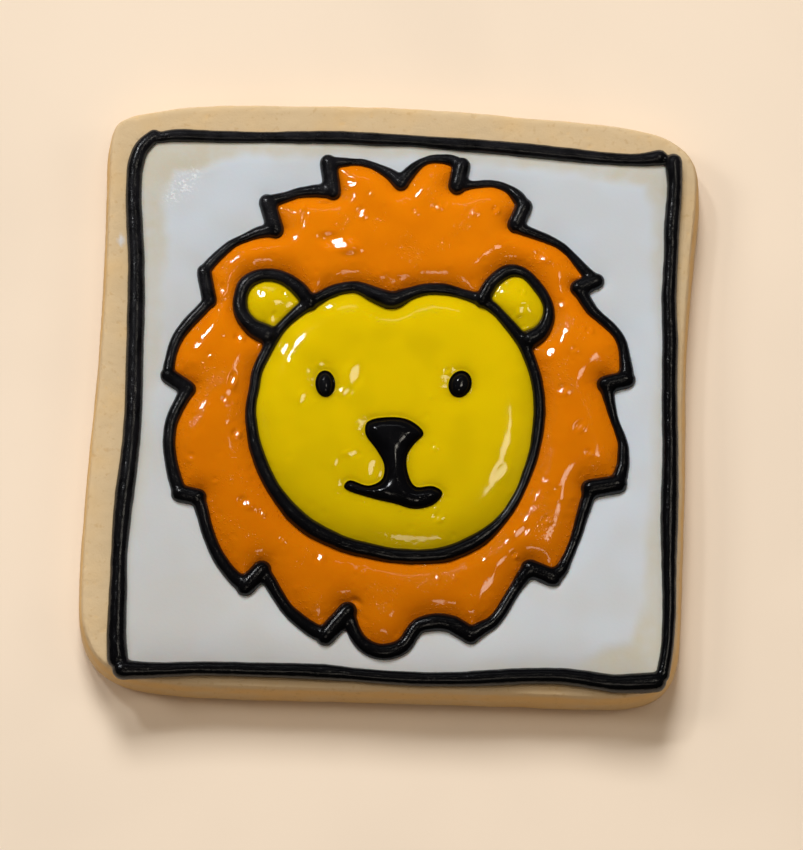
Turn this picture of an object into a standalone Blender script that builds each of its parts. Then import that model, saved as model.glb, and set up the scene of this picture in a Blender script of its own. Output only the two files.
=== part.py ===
"""A square iced sugar biscuit with a lion's head piped and flooded on it.

Metres, +Z up. The origin is on the table, under the middle of the biscuit, and +Y is the top of the
picture. On the baked dough lie a white ground inside a black piped frame, an orange mane inside a
black tufted outline, a yellow face and ears inside a black head outline, and black eyes, nose and
mouth. Each piece of icing is its own solid and stands 0.3 mm clear of the next.

Routes and outlines are in mm on the biscuit's top. A route's third number, where it has one, is the
radius of the icing bead that is piped along it.
"""

import math

import bmesh
import bpy
import numpy as np
from mathutils import Vector, geometry

MM = 0.001

# Biscuit: its outline at its widest, anticlockwise from the upper left corner
BISCUIT_OUTLINE = (
    (-44.2, 40.9), (-45.0, 38.2), (-45.1, 34.5), (-44.9, 30.0), (-44.7, 23.5), (-44.5, 14.5),
    (-44.5, 6.5), (-44.6, -1.0), (-44.9, -9.5), (-45.1, -18.5), (-45.2, -27.0), (-45.0, -33.0),
    (-44.5, -37.3), (-43.6, -40.1), (-42.2, -42.3), (-40.3, -44.0), (-37.6, -45.3), (-34.5, -45.9),
    (-28.5, -46.3), (-20.0, -46.4), (-10.0, -46.2), (0.0, -46.0), (10.0, -45.8), (21.0, -45.6),
    (31.0, -45.5), (36.5, -45.2), (39.7, -44.4), (41.9, -43.0), (43.5, -40.8), (44.4, -37.6),
    (44.6, -33.0), (44.6, -27.0), (44.6, -20.0), (44.6, -12.5), (44.4, -5.0), (44.2, 2.5), (44.2, 9.0),
    (44.4, 15.5), (44.7, 22.0), (45.1, 28.0), (45.3, 33.0), (45.1, 36.8), (44.2, 39.4), (42.5, 41.4),
    (40.2, 42.9), (36.8, 43.9), (31.5, 44.6), (26.0, 45.0), (17.5, 45.4), (8.0, 45.8), (-1.0, 46.0),
    (-10.0, 45.8), (-19.0, 45.5), (-28.0, 45.1), (-33.0, 44.6), (-37.5, 43.7), (-42.3, 42.4),
)  # fmt: skip
BISCUIT_THICK = 7.0
BISCUIT_EDGE = (  # inset from the outline and height, going up the baked edge
    (0.9, 0.0), (0.3, 0.3), (0.0, 1.2), (0.1, 3.4), (0.35, 5.4), (0.8, 6.4), (1.7, BISCUIT_THICK),
)  # fmt: skip
OUTLINE_PITCH = 3.0  # spacing of the points round the biscuit

# Icing
GAP = 0.3
ICING_BASE = BISCUIT_THICK + GAP
BEAD_AXIS = ICING_BASE + 0.35  # height of a bead's axis
TIP_REACH, TIP_BEAD = 0.75, 0.6  # a stroke's rounded end, as shares of its bead's radius
TRACE_PITCH = 0.3  # spacing of the points that an edge is traced with
FLOODS = {  # height at the rim, height in the middle, width of the shoulder between them, finish
    "white_icing": (0.55, 1.0, 3.0, "white_icing"),
    "mane_icing": (0.75, 1.75, 2.6, "orange_icing"),
    "face_icing": (0.8, 1.85, 3.2, "yellow_icing"),
    "ear_icing": (0.8, 1.7, 1.8, "yellow_icing"),
    "nose_mouth": (1.0, 2.2, 1.1, "black_icing"),
    "eye": (1.0, 2.1, 1.2, "black_icing"),
}

# Frame: four piped strokes
FRAME_STROKES = {
    "left": (
        (-37.9, 38.9, 1), (-39.6, 37, 1.15), (-40.4, 34.4, 1.2), (-40.5, 30.7, 1.15), (-40, 24.7, 1.22),
        (-39.5, 20.3, 1.2), (-39.1, 14, 1.28), (-38.8, 6.8, 1.27), (-38.6, 0.8, 1.27),
        (-38.4, -5.2, 1.3), (-38.5, -11.2, 1.32), (-38.9, -17.2, 1.4), (-39.1, -23.2, 1.25),
        (-39.1, -27.5, 1.2), (-38.9, -33, 1.32), (-38.8, -38, 1.4), (-38.4, -42.2, 1.5),
    ),
    "lower": (
        (-37.6, -43.9, 1.4), (-34.4, -43.8, 1.22), (-30.5, -43.5, 1.05), (-25, -43.1, 1.02),
        (-16.4, -42.9, 1.05), (-7.4, -42.8, 1.15), (-3.5, -43, 1), (4.6, -43.2, 1), (11, -43, 1.03),
        (16.6, -42.5, 1.15), (22, -42, 1.17), (27, -41.8, 1.2), (31, -42.1, 1.25), (34.5, -42.5, 1.3),
        (38, -42.3, 1.45), (41, -42, 1.4),
    ),
    "right": (
        (40.9, 38.3, 1.3), (41.2, 34.5, 1.1), (41, 28.9, 1.15), (41, 22.9, 1.05), (40.9, 16.9, 1.1),
        (41.3, 10.9, 1.15), (41.4, 4.9, 1.15), (41.6, -1.1, 1.15), (41.9, -7.1, 1.17),
        (42, -13.1, 1.27), (42.1, -19.1, 1.25), (42.3, -25.1, 1.07), (42.5, -31.1, 1),
        (42.4, -36.5, 0.9), (41.9, -40.9, 0.95),
    ),
    "upper": (
        (-37.4, 38.6, 0.85), (-34.5, 39.1, 0.97), (-28.7, 39.2, 0.92), (-21.5, 39.4, 0.82),
        (-15.5, 39.7, 0.92), (-9.5, 39.95, 0.98), (-4, 39.9, 1), (1.3, 39.9, 0.86), (7.3, 39.7, 1),
        (13.3, 39.5, 1.02), (19.3, 39.2, 1.07), (25.2, 38.8, 1.02), (31.2, 38.5, 0.95),
        (35.5, 38.5, 0.97), (38.8, 39, 1.2),
    ),
}  # fmt: skip

# Mane: its fifteen tufts, anticlockwise from the crown. Each belly runs from one end of the tuft to
# the other, and a short straight hook joins it to the next belly.
MANE_BELLIES = (
    ((-0.2, 33, 1.13), (-1.5, 34.2, 0.95), (-3, 35, 0.72), (-4.6, 35.7, 0.6), (-6.2, 36.1, 0.6),
     (-7.9, 36.1, 0.6), (-11.3, 35.8, 1.07)),
    ((-10.4, 31.2, 1.1), (-12.3, 31.3, 1.04), (-14, 31.1, 0.89), (-15.6, 30.8, 0.83),
     (-17.4, 30.1, 0.83), (-20.2, 29.1, 1.07)),
    ((-18.7, 24.8, 1.07), (-20.9, 24.4, 0.92), (-23.1, 23.4, 0.71), (-25.1, 22.3, 0.68),
     (-26.6, 20.9, 0.77), (-28, 19.3, 0.83), (-29.1, 17.8, 0.92)),
    ((-28, 13.2, 0.89), (-29.5, 11.3, 0.92), (-31.1, 9.4, 0.94), (-32.3, 7.5, 0.89), (-33, 5.6, 0.83),
     (-33.4, 3.5, 0.82), (-33.5, 1.3, 0.95)),
    ((-30.4, -0.6, 1.07), (-31.7, -3.3, 1.01), (-32.6, -6, 0.95), (-32.8, -8.7, 0.94),
     (-32.4, -11.4, 0.94), (-31.7, -14, 1), (-30.7, -16.8, 1.1)),
    ((-28, -17.2, 1.07), (-27.1, -19.7, 0.98), (-26.3, -22.2, 0.91), (-25.3, -24.5, 0.94),
     (-24, -26.7, 0.98), (-22.4, -28.7, 1.04), (-20.2, -30.5, 1.19)),
    ((-17.9, -27.8, 1.04), (-16.4, -29.9, 1.01), (-15.1, -31.9, 0.95), (-13.6, -33.8, 0.95),
     (-11.8, -35.3, 1.03), (-10, -36.5, 1.09), (-8, -37.4, 1.22)),
    ((-4.9, -33.5, 1.1), (-4.1, -35.8, 1.03), (-3.1, -37.6, 1.07), (-1.9, -38.7, 1.13),
     (-0.3, -39.3, 1.19), (1.3, -39.3, 1.24), (2.8, -38.8, 1.19), (3.9, -37.9, 1.16),
     (4.7, -36.5, 1.14), (5.6, -35.3, 1.18), (7.2, -34.7, 1.3), (8.8, -34.5, 1.33), (10.6, -34.7, 1.3)),
    ((13.4, -36.3, 1.25), (15.1, -35.1, 1.1), (16.5, -34.2, 0.98), (17.5, -32.9, 0.92),
     (18.3, -31.5, 0.92), (19, -30.2, 0.9), (19.8, -28.7, 0.95), (21.7, -25.7, 1.19)),
    ((25.2, -27, 1.25), (26.5, -25.5, 1), (27.1, -24.1, 0.82), (27.7, -22.6, 0.74), (28.2, -21.1, 0.77),
     (28.6, -19.6, 0.82), (29, -18, 0.87), (30.2, -13.2, 1.1)),
    ((34.2, -12.3, 1.22), (34.6, -10.8, 1.1), (34.9, -9.4, 0.95), (34.9, -7.8, 0.88),
     (34.8, -6.2, 0.76), (34.3, -4.6, 0.7), (33.7, -3.2, 0.62), (33.1, -1.6, 0.66), (31.9, 3, 1.07)),
    ((35, 3.9, 1.16), (34.9, 5.2, 1.08), (34.7, 6.8, 0.9), (34.4, 8.4, 0.78), (33.9, 10, 0.75),
     (33, 11.3, 0.75), (31.8, 12.4, 0.78), (30.5, 13.5, 0.8), (29.3, 14.6, 0.9), (27.2, 17.8, 1.04)),
    ((29.9, 19, 0.98), (28, 20.7, 0.83), (26.1, 22.8, 0.64), (24.5, 24.2, 0.62), (22.6, 25.2, 0.7),
     (20.6, 25.9, 0.77), (18.9, 26.5, 0.89), (17.4, 27.3, 1.1)),
    ((18.6, 30.2, 1.04), (17.5, 31.8, 0.98), (16, 33, 0.68), (14.2, 33.6, 0.6), (12.5, 33.6, 0.6),
     (10.4, 33.3, 0.68), (8.3, 33, 1.07)),
    ((8.9, 36.2, 1.09), (7.4, 37.05, 0.88), (5.8, 37.2, 0.75), (4.2, 37.1, 0.67), (2.7, 36.4, 0.68),
     (1.3, 35.1, 0.92), (-0.2, 33, 1.13)),
)  # fmt: skip
HOOK_BEADS = (
    1.3, 1.3, 1.1, 1.2, 1.3, 1.42, 1.45, 1.35, 1.35, 1.45, 1.35, 1.25, 1.3, 1.35, 1.13,
)

# Face, anticlockwise from the dip in the forehead
FACE_OUTLINE = (
    (-0.5, 14.6, 1.4), (-2.9, 15.2, 1.25), (-6.1, 16.4, 0.92), (-8.9, 15.9, 0.92), (-11.2, 14.7, 0.95),
    (-12.9, 13.6, 1), (-14.4, 12.4, 0.9), (-16.2, 10.6, 0.8), (-18, 8.2, 0.9), (-19.1, 5.6, 0.82),
    (-20.2, 2.8, 0.8), (-20.6, -0.2, 0.78), (-20.9, -3.1, 0.8), (-20.6, -6.1, 0.87), (-19.9, -9, 0.97),
    (-18.8, -11.8, 1.02), (-17.4, -14.5, 1.02), (-15.6, -17, 1.1), (-13.5, -19.3, 1.25),
    (-11.1, -21.1, 1.3), (-8.4, -22.4, 1.25), (-5.6, -23.5, 1.22), (-2.7, -24.1, 1.2),
    (0.2, -24.6, 1.14), (3.2, -24.8, 1.14), (6.1, -24.7, 1.12), (9.1, -24.2, 1.22), (11.9, -23, 1.2),
    (14.5, -21.4, 1.1), (16.7, -19.2, 0.82), (18.5, -16.7, 0.74), (19.8, -14, 0.68),
    (20.8, -11.1, 0.76), (21.6, -8.2, 0.78), (22, -5.2, 0.85), (22.2, -2.2, 0.9), (22, 0.7, 0.87),
    (21.4, 3.7, 0.87), (20.4, 6.5, 0.87), (19.1, 9.2, 0.95), (17.2, 11.5, 0.88), (15.1, 13.7, 0.8),
    (12.9, 15.2, 0.95), (9.9, 16.1, 0.78), (7.1, 16.7, 0.9), (4.1, 16.5, 0.88), (1.6, 15.6, 1.05),
)  # fmt: skip

# Ears: each black arc, from the top of the head down to the cheek
EAR_ARCS = {
    "left": (
        (-12.9, 13.6, 1.2), (-14.8, 15.8, 1.15), (-17.4, 17.4, 1.02), (-20.3, 17.6, 1.02),
        (-22.6, 16.3, 1.12), (-23.4, 13.9, 1.08), (-23.1, 11.6, 1.15), (-21.5, 9.5, 1.35),
        (-19.1, 8.3, 1.6),
    ),
    "right": (
        (12.9, 15.2, 1.2), (14.3, 18.1, 1.0), (16.6, 20.0, 1.02), (18.9, 19.8, 0.82), (21.1, 17.8, 0.8),
        (22.8, 15.0, 0.8), (22.9, 12.7, 0.98), (21.9, 10.6, 1.25), (20.2, 9.3, 1.5),
    ),
}  # fmt: skip

# Eyes: middle, half width, half height and turn in degrees
EYES = {"left": ((-9.95, 0.85), 1.45, 2.05, 6.0), "right": ((10.15, 1.75), 1.68, 2.1, -14.0)}

# Nose, stem and mouth in one piped shape, anticlockwise from the nose's upper left
NOSE_AND_MOUTH = (
    (-3.4, -4.7), (-3.6, -6.6), (-1.9, -8.9), (-0.6, -11.2), (-0.8, -13.4), (-2.8, -14.5), (-5.7, -13.8),
    (-6.4, -15.0), (-2.4, -16.4), (1.2, -17.1), (4.4, -17.8), (7.3, -16.8), (8.3, -15.0), (6.8, -14.1),
    (4.2, -14.3), (3.0, -12.2), (2.8, -9.6), (3.8, -7.8), (5.1, -6.1), (3.0, -4.2), (0.0, -3.8),
)  # fmt: skip

# Finishes: base colour, roughness and coat
FINISHES = {
    "baked_dough": ((0.640, 0.450, 0.235), 0.85, 0.0),
    "white_icing": ((0.700, 0.715, 0.740), 0.35, 0.2),
    "black_icing": ((0.010, 0.010, 0.011), 0.32, 0.2),
    "orange_icing": ((0.740, 0.195, 0.003), 0.16, 0.6),
    "yellow_icing": ((0.700, 0.510, 0.004), 0.16, 0.6),
}


def vectors(points):
    return [Vector(point) for point in points]


def smooth_line(points, steps, closed=False):
    """A centripetal Catmull-Rom line through the points, with that many steps in each span."""
    if closed:
        padded = [points[-1], *points, points[0], points[1]]
    else:
        padded = [2 * points[0] - points[1], *points, 2 * points[-1] - points[-2]]
    line = []
    for i in range(len(padded) - 3):
        p = padded[i : i + 4]
        k = [0.0]
        for a, b in zip(p, p[1:]):
            k.append(k[-1] + math.sqrt((b - a).length))
        for step in range(steps):
            t = k[1] + (k[2] - k[1]) * step / steps
            a = [p[j].lerp(p[j + 1], (t - k[j]) / (k[j + 1] - k[j])) for j in range(3)]
            b = [a[j].lerp(a[j + 1], (t - k[j]) / (k[j + 2] - k[j])) for j in range(2)]
            line.append(b[0].lerp(b[1], (t - k[1]) / (k[2] - k[1])))
    return line if closed else [*line, points[-1]]


def even_loop(points, pitch):
    """The closed loop with its points moved to an even pitch."""
    lengths = [(b - a).length for a, b in zip(points, points[1:] + points[:1])]
    count = max(8, round(sum(lengths) / pitch))
    stride = sum(lengths) / count
    loop, index, passed = [], 0, 0.0
    for n in range(count):
        while passed + lengths[index] <= n * stride:
            passed += lengths[index]
            index += 1
        share = (n * stride - passed) / lengths[index]
        loop.append(points[index].lerp(points[(index + 1) % len(points)], share))
    return loop


def nearest(points, others):
    """How far each point is from the nearest of the others, less that other's bead if it has one."""
    points, others = np.array([p.xy for p in points]), np.array([tuple(p.to_3d()) for p in others])
    return (np.linalg.norm(points[:, None] - others[None, :, :2], axis=2) - others[:, 2]).min(axis=1)


def uncrossed(loop, reach=40):
    """The closed loop with the small places where it crosses itself cut away."""
    for _ in range(2):
        points, i = loop[len(loop) // 2 :] + loop[: len(loop) // 2], 0
        while i < len(points) - 3:
            for j in range(min(i + reach, len(points) - 2), i + 1, -1):
                hit = geometry.intersect_line_line_2d(*points[i : i + 2], *points[j : j + 2])
                if hit is not None:
                    points[i + 1 : j + 1] = [hit]
                    break
            i += 1
        loop = points
    return loop


def beside(loop, side, gap):
    """The anticlockwise loop moved off its own bead by a gap, outwards if side is 1 and inwards if -1.

    At an outer bend the points fan round it, and where the bead's sides would cross they are dropped.
    """
    loop = even_loop(loop, TRACE_PITCH)
    moved = []
    for i, here in enumerate(loop):
        before, after = loop[i - 1], loop[(i + 1) % len(loop)]
        away = [Vector((d.y, -d.x)).normalized() * side for d in (here - before, after - here)]
        for share in (0.0, 0.33, 0.67, 1.0):
            moved.append(here.xy + away[0].slerp(away[1], share, away[0]) * (here.z + gap))
    almost_gap = gap * 0.93
    return uncrossed([p for p, space in zip(moved, nearest(moved, loop)) if space > almost_gap])


def ellipse(middle, half_width, half_height, turn, points=24):
    turn = math.radians(turn)
    loop = []
    for n in range(points):
        angle = math.tau * n / points
        x, y = half_width * math.cos(angle), half_height * math.sin(angle)
        across, up = x * math.cos(turn) - y * math.sin(turn), x * math.sin(turn) + y * math.cos(turn)
        loop.append(Vector((middle[0] + across, middle[1] + up, 0.0)))
    return loop


def biscuit_outline():
    """The dough's outline at its widest, anticlockwise, with its box centred on the origin."""
    outline = even_loop(smooth_line(vectors(BISCUIT_OUTLINE), 3, closed=True), OUTLINE_PITCH)
    low = Vector((min(p.x for p in outline), min(p.y for p in outline)))
    high = Vector((max(p.x for p in outline), max(p.y for p in outline)))
    return [p - (low + high) / 2 for p in outline]


def frame_strokes():
    """The frame's strokes as routes with beads, by name."""
    return {side: vectors(route) for side, route in FRAME_STROKES.items()}


def frame_loop():
    strokes = frame_strokes()
    loop = strokes["left"] + strokes["lower"] + strokes["right"][::-1] + strokes["upper"][::-1]
    return even_loop(loop, 1.0)


def mane_strokes():
    """The mane's strokes, anticlockwise from the crown: a belly and then a hook for each tuft."""
    strokes = []
    for i, (belly, bead) in enumerate(zip(MANE_BELLIES, HOOK_BEADS)):
        tip, notch = Vector(belly[-1]), Vector(MANE_BELLIES[(i + 1) % len(MANE_BELLIES)][0])
        strokes.append(vectors(belly))
        if (notch - tip).length > bead:
            strokes.append([Vector((*end.xy, bead)) for end in (tip, notch)])
    return strokes


def mane_loop():
    """The mane's middle line, with a hook's bead rather than a belly's where they meet."""
    loop, strokes = [], mane_strokes()
    for stroke, following in zip(strokes, strokes[1:] + strokes[:1]):
        is_hook, meets_hook = len(stroke) == 2, len(following) == 2
        loop += stroke if is_hook else stroke[1 : -1 if meets_hook else None]
    return loop


def face_loop():
    return vectors(FACE_OUTLINE)


def ear_stroke(side):
    return smooth_line(vectors(EAR_ARCS[side]), 2)


def ear_roots(side):
    """The places on the face's loop where an ear's arc starts and ends, upper one first."""
    face, arc = face_loop(), ear_stroke(side)
    return [min(range(len(face)), key=lambda i: (face[i] - end).length) for end in (arc[0], arc[-1])]


def head_loop():
    """The face's outline, anticlockwise, going round the ears."""
    face, left, right = face_loop(), ear_stroke("left"), ear_stroke("right")
    (upper_left, lower_left), (upper_right, lower_right) = ear_roots("left"), ear_roots("right")
    cheeks = face[lower_left : lower_right + 1]
    return [*face[: upper_left + 1], *left[1:-1], *cheeks, *right[-2:0:-1], *face[upper_right:]]


def ear_loop(side):
    """The outline of the ground inside an ear, anticlockwise."""
    face, arc = face_loop(), ear_stroke(side)
    upper, lower = ear_roots(side)
    if side == "left":
        return arc[1:-1] + face[lower : upper - 1 : -1]
    return arc[-2:0:-1] + face[upper : lower - 1 : -1]


def finish(name):
    material = bpy.data.materials.get(name)
    if material is None:
        colour, roughness, coat = FINISHES[name]
        material = bpy.data.materials.new(name)
        material.use_nodes = True
        material.diffuse_color = (*colour, 1.0)
        shader = material.node_tree.nodes["Principled BSDF"]
        shader.inputs["Base Color"].default_value = (*colour, 1.0)
        shader.inputs["Roughness"].default_value = roughness
        shader.inputs["Metallic"].default_value = 0.0
        shader.inputs["Coat Weight"].default_value = coat
    return material


def add_solid(name, bm, finish_name, collection):
    """A new object from a mesh in mm, shaded smooth except at its sharp edges."""
    bmesh.ops.recalc_face_normals(bm, faces=bm.faces)
    bmesh.ops.triangulate(bm, faces=bm.faces)
    bmesh.ops.scale(bm, vec=(MM, MM, MM), verts=bm.verts)
    mesh = bpy.data.meshes.new(name)
    bm.to_mesh(mesh)
    bm.free()
    mesh.shade_smooth()
    mesh.set_sharp_from_angle(angle=math.radians(50))
    mesh.materials.append(finish(finish_name))
    collection.objects.link(bpy.data.objects.new(name, mesh))


def add_biscuit(collection):
    """The baked dough: its outline lofted up the rounded edge and capped."""
    outline = biscuit_outline()
    count = len(outline)
    bm = bmesh.new()
    rings = []
    for inset, height in BISCUIT_EDGE:
        ring = []
        for i, p in enumerate(outline):
            along = (outline[(i + 1) % count] - outline[i - 1]).normalized()
            ring.append(bm.verts.new((p.x - along.y * inset, p.y + along.x * inset, height)))
        rings.append(ring)
    for lower, upper in zip(rings, rings[1:]):
        for i in range(count):
            bm.faces.new((lower[i - 1], lower[i], upper[i], upper[i - 1]))
    bm.faces.new(rings[0])
    bm.faces.new(rings[-1])
    add_solid("biscuit", bm, "baked_dough", collection)


def is_within(p, loop):
    crossed = 0
    for a, b in zip(loop, loop[1:] + loop[:1]):
        if (a.y > p.y) != (b.y > p.y) and p.x < a.x + (b.x - a.x) * (p.y - a.y) / (b.y - a.y):
            crossed += 1
    return crossed % 2 == 1


def add_sheet(bm, points, edges, holes, height_at):
    """A triangulated sheet inside the edges, and its vertices by their points' indices."""
    inside_edges = 1
    flat, _, faces, sources, *_ = geometry.delaunay_2d_cdt(points, edges, [], inside_edges, 1e-6)
    verts = [bm.verts.new((p.x, p.y, height_at(p))) for p in flat]
    for face in faces:
        middle = sum((flat[i] for i in face), Vector((0.0, 0.0))) / len(face)
        if not any(is_within(middle, hole) for hole in holes):
            bm.faces.new([verts[i] for i in face])
    used = {source: vert for vert, found in zip(verts, sources) for source in found}
    for vert in verts:
        if not vert.link_faces:
            bm.verts.remove(vert)
    return used


def add_flood(name, kind, loops, pitch, collection):
    """Icing flooded inside the first loop and round the others. Its top rises from rim to middle."""
    rim, middle, shoulder, finish_name = FLOODS[kind]
    bounds = [even_loop([p.xy for p in loop], pitch) for loop in loops]
    points = [p for loop in bounds for p in loop]
    edges = []
    for loop in bounds:
        start = len(edges)
        edges += [(start + i, start + (i + 1) % len(loop)) for i in range(len(loop))]
    edge_points = points[:]
    ring_depth = shoulder * 0.3
    for n, loop in enumerate(bounds):
        side = -1 if n == 0 else 1
        ring = even_loop(beside([p.to_3d() for p in loop], side, ring_depth), pitch * 1.2)
        points += [p for p, depth in zip(ring, nearest(ring, edge_points)) if depth > ring_depth * 0.8]
    low = Vector((min(p.x for p in points), min(p.y for p in points)))
    high = Vector((max(p.x for p in points), max(p.y for p in points)))
    step = shoulder * 0.8
    rows, columns = int((high.y - low.y) / step) + 1, int((high.x - low.x) / step) + 1
    grid = [low + Vector((c + r % 2 / 2, r)) * step for r in range(rows) for c in range(columns)]
    points += [p for p, space in zip(grid, nearest(grid, points)) if space > step / 2]

    def top(p):
        rise = min(1.0, nearest([p], edge_points)[0] / shoulder)
        return ICING_BASE + rim + (middle - rim) * math.sqrt(1 - (1 - rise) ** 2)

    bm = bmesh.new()
    upper = add_sheet(bm, points, edges, bounds[1:], top)
    lower = add_sheet(bm, edge_points, edges, bounds[1:], lambda p: ICING_BASE)
    for a, b in edges:
        bm.faces.new((lower[a], lower[b], upper[b], upper[a]))
    add_solid(name, bm, finish_name, collection)


def bead_mesh(route, closed=False):
    """A round bead along a route, with rounded ends, and flat where it lies on the biscuit."""
    route = list(route)
    if not closed:
        for end, inner in ((0, 1), (-1, -2)):
            away = (route[end].xy - route[inner].xy).normalized() * route[end].z * TIP_REACH
            tip = Vector((*(route[end].xy + away), route[end].z * TIP_BEAD))
            route.insert(0 if end == 0 else len(route), tip)
    curve = bpy.data.curves.new("bead", "CURVE")
    curve.dimensions = "3D"
    curve.twist_mode = "Z_UP"
    curve.bevel_depth = 1.0
    curve.bevel_resolution = 2
    curve.use_fill_caps = True
    spline = curve.splines.new("POLY")
    spline.points.add(len(route) - 1)
    for point, (x, y, bead) in zip(spline.points, route):
        point.co = (x, y, BEAD_AXIS, 1.0)
        point.radius = bead
    spline.use_cyclic_u = closed
    drawn = bpy.data.objects.new("bead", curve)
    bpy.context.scene.collection.objects.link(drawn)
    graph = bpy.context.evaluated_depsgraph_get()
    mesh = bpy.data.meshes.new_from_object(drawn.evaluated_get(graph))
    bpy.data.objects.remove(drawn)
    bm = bmesh.new()
    bm.from_mesh(mesh)
    bmesh.ops.remove_doubles(bm, verts=bm.verts, dist=0.001)
    for vert in bm.verts:
        vert.co.z = max(vert.co.z, ICING_BASE)
    bmesh.ops.recalc_face_normals(bm, faces=bm.faces)
    bm.to_mesh(mesh)
    bm.free()
    return mesh


def add_piping(name, meshes, collection):
    """Beads joined into one piece of black icing."""
    first = bpy.data.objects.new("first_bead", meshes[0])
    collection.objects.link(first)
    others = bpy.data.collections.new("other_beads")
    for mesh in meshes[1:]:
        others.objects.link(bpy.data.objects.new("bead", mesh))
    union = first.modifiers.new("union", "BOOLEAN")
    union.operation = "UNION"
    union.operand_type = "COLLECTION"
    union.solver = "MANIFOLD"
    union.collection = others
    graph = bpy.context.evaluated_depsgraph_get()
    bm = bmesh.new()
    bm.from_object(first, graph)
    for bead in [first, *others.objects]:
        bpy.data.objects.remove(bead)
    bpy.data.collections.remove(others)
    add_solid(name, bm, "black_icing", collection)


def main():
    for leftover in list(bpy.data.objects):
        bpy.data.objects.remove(leftover)
    collection = bpy.data.collections.new("iced_biscuit")
    bpy.context.scene.collection.children.link(collection)

    add_biscuit(collection)

    add_piping("frame_piping", [bead_mesh(stroke) for stroke in frame_strokes().values()], collection)
    add_piping("mane_piping", [bead_mesh(stroke) for stroke in mane_strokes()], collection)
    head = [bead_mesh(face_loop(), closed=True), *(bead_mesh(ear_stroke(side)) for side in EAR_ARCS)]
    add_piping("head_piping", head, collection)

    nose = smooth_line([Vector((x, y, 0.0)) for x, y in NOSE_AND_MOUTH], 2, closed=True)
    eyes = {side: ellipse(*size) for side, size in EYES.items()}
    add_flood("nose_mouth", "nose_mouth", [nose], 0.9, collection)
    for side, eye in eyes.items():
        add_flood(f"eye_{side}", "eye", [eye], 0.8, collection)
        add_flood(f"ear_icing_{side}", "ear_icing", [beside(ear_loop(side), -1, GAP)], 1.1, collection)

    features = [beside(loop, 1, GAP) for loop in (nose, *eyes.values())]
    add_flood("face_icing", "face_icing", [beside(face_loop(), -1, GAP), *features], 1.4, collection)
    mane, head_edge = beside(mane_loop(), -1, GAP), beside(head_loop(), 1, GAP)
    add_flood("mane_icing", "mane_icing", [mane, head_edge], 1.4, collection)
    ground = [beside(frame_loop(), -1, GAP), beside(mane_loop(), 1, GAP)]
    add_flood("white_icing", "white_icing", ground, 1.6, collection)


if __name__ == "__main__":
    main()
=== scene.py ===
"""Looks of a square iced sugar biscuit with a lion's head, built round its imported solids.

Lengths are in mm unless a name says otherwise, in the solids' own frame: the origin is on the table
under the middle of the biscuit, +Y is the top of the picture and +Z is up. A route's third number is
the radius of the bead of icing that is piped along it.
"""

from __future__ import annotations

import logging
import math
from dataclasses import dataclass, field
from enum import Enum

import bpy
import numpy as np
from mathutils import Matrix, Vector, geometry, kdtree, noise


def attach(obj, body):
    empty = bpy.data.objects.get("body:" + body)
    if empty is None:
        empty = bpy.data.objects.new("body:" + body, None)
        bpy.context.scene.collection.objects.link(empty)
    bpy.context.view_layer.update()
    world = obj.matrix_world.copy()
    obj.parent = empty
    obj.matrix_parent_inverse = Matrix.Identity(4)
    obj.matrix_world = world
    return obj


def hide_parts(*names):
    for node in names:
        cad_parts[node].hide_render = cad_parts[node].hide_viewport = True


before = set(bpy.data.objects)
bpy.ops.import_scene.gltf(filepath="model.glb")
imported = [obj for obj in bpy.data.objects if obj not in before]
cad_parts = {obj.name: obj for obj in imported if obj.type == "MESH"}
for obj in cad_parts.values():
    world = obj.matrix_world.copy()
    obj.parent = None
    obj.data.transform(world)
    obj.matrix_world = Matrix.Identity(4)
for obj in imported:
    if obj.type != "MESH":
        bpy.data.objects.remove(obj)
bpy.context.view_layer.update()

log = logging.getLogger("iced_biscuit")

Array = np.ndarray
Colour = tuple[float, float, float]
Route = tuple[tuple[float, ...], ...]

MM = 0.001
BISCUIT_THICK = 7.0
ICING_BASE = BISCUIT_THICK + 0.3  # the icing's solids start a gap above the biscuit
BEAD_AXIS = ICING_BASE + 0.35
SUNK = BISCUIT_THICK - 0.05  # every piece of icing reaches just into the biscuit
EDGE_PITCH = 0.3  # spacing of the points that an edge is traced with
BURIED = 0.35  # how far a flood's edge lies inside the bead beside it
EYE_BEAD, NOSE_BEAD = 0.25, 0.2  # how far these stand out past their outlines
CRISP_EDGE = (  # inset and height, going up the baked edge
    (0.9, 0), (0.3, 0.3), (0, 1.2), (0.15, 3.4), (0.42, 5.4), (0.72, 6.4), (0.98, 6.85),
    (1.5, BISCUIT_THICK),
)  # fmt: skip
THIN_BANDS = (  # places on the ground: x, y, how wide the thin band is there, how thin it is
    (-38, 37, 5, 1), (-38, 25, 3.4, 0.8), (-37.5, 10, 2.6, 0.5), (-37.5, -8, 1.6, 0.4),
    (-37.5, -30, 0.6, 0.3), (-20, -41.5, 0.3, 0.3), (5, -41.5, 0.3, 0.3), (24, -40, 0.8, 0.4),
    (39.5, -39.5, 4.4, 0.85), (40.5, -26, 2.4, 0.7), (40.5, -10, 1.3, 0.5), (39.5, 10, 0.9, 0.4),
    (39.5, 28, 1.6, 0.6), (39, 36.5, 3.4, 0.8), (20, 38, 1.8, 0.7), (0, 38.7, 1.8, 0.7),
    (-20, 38.2, 2.2, 0.8),
)  # fmt: skip


class Glint(Enum):
    """Lights that the icing's facets catch: which way such a facet faces, and how steep it is."""

    WINDOW = (147.0, 0.264)
    LAMP = (-20.0, 0.158)


W, L = Glint.WINDOW, Glint.LAMP

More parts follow.
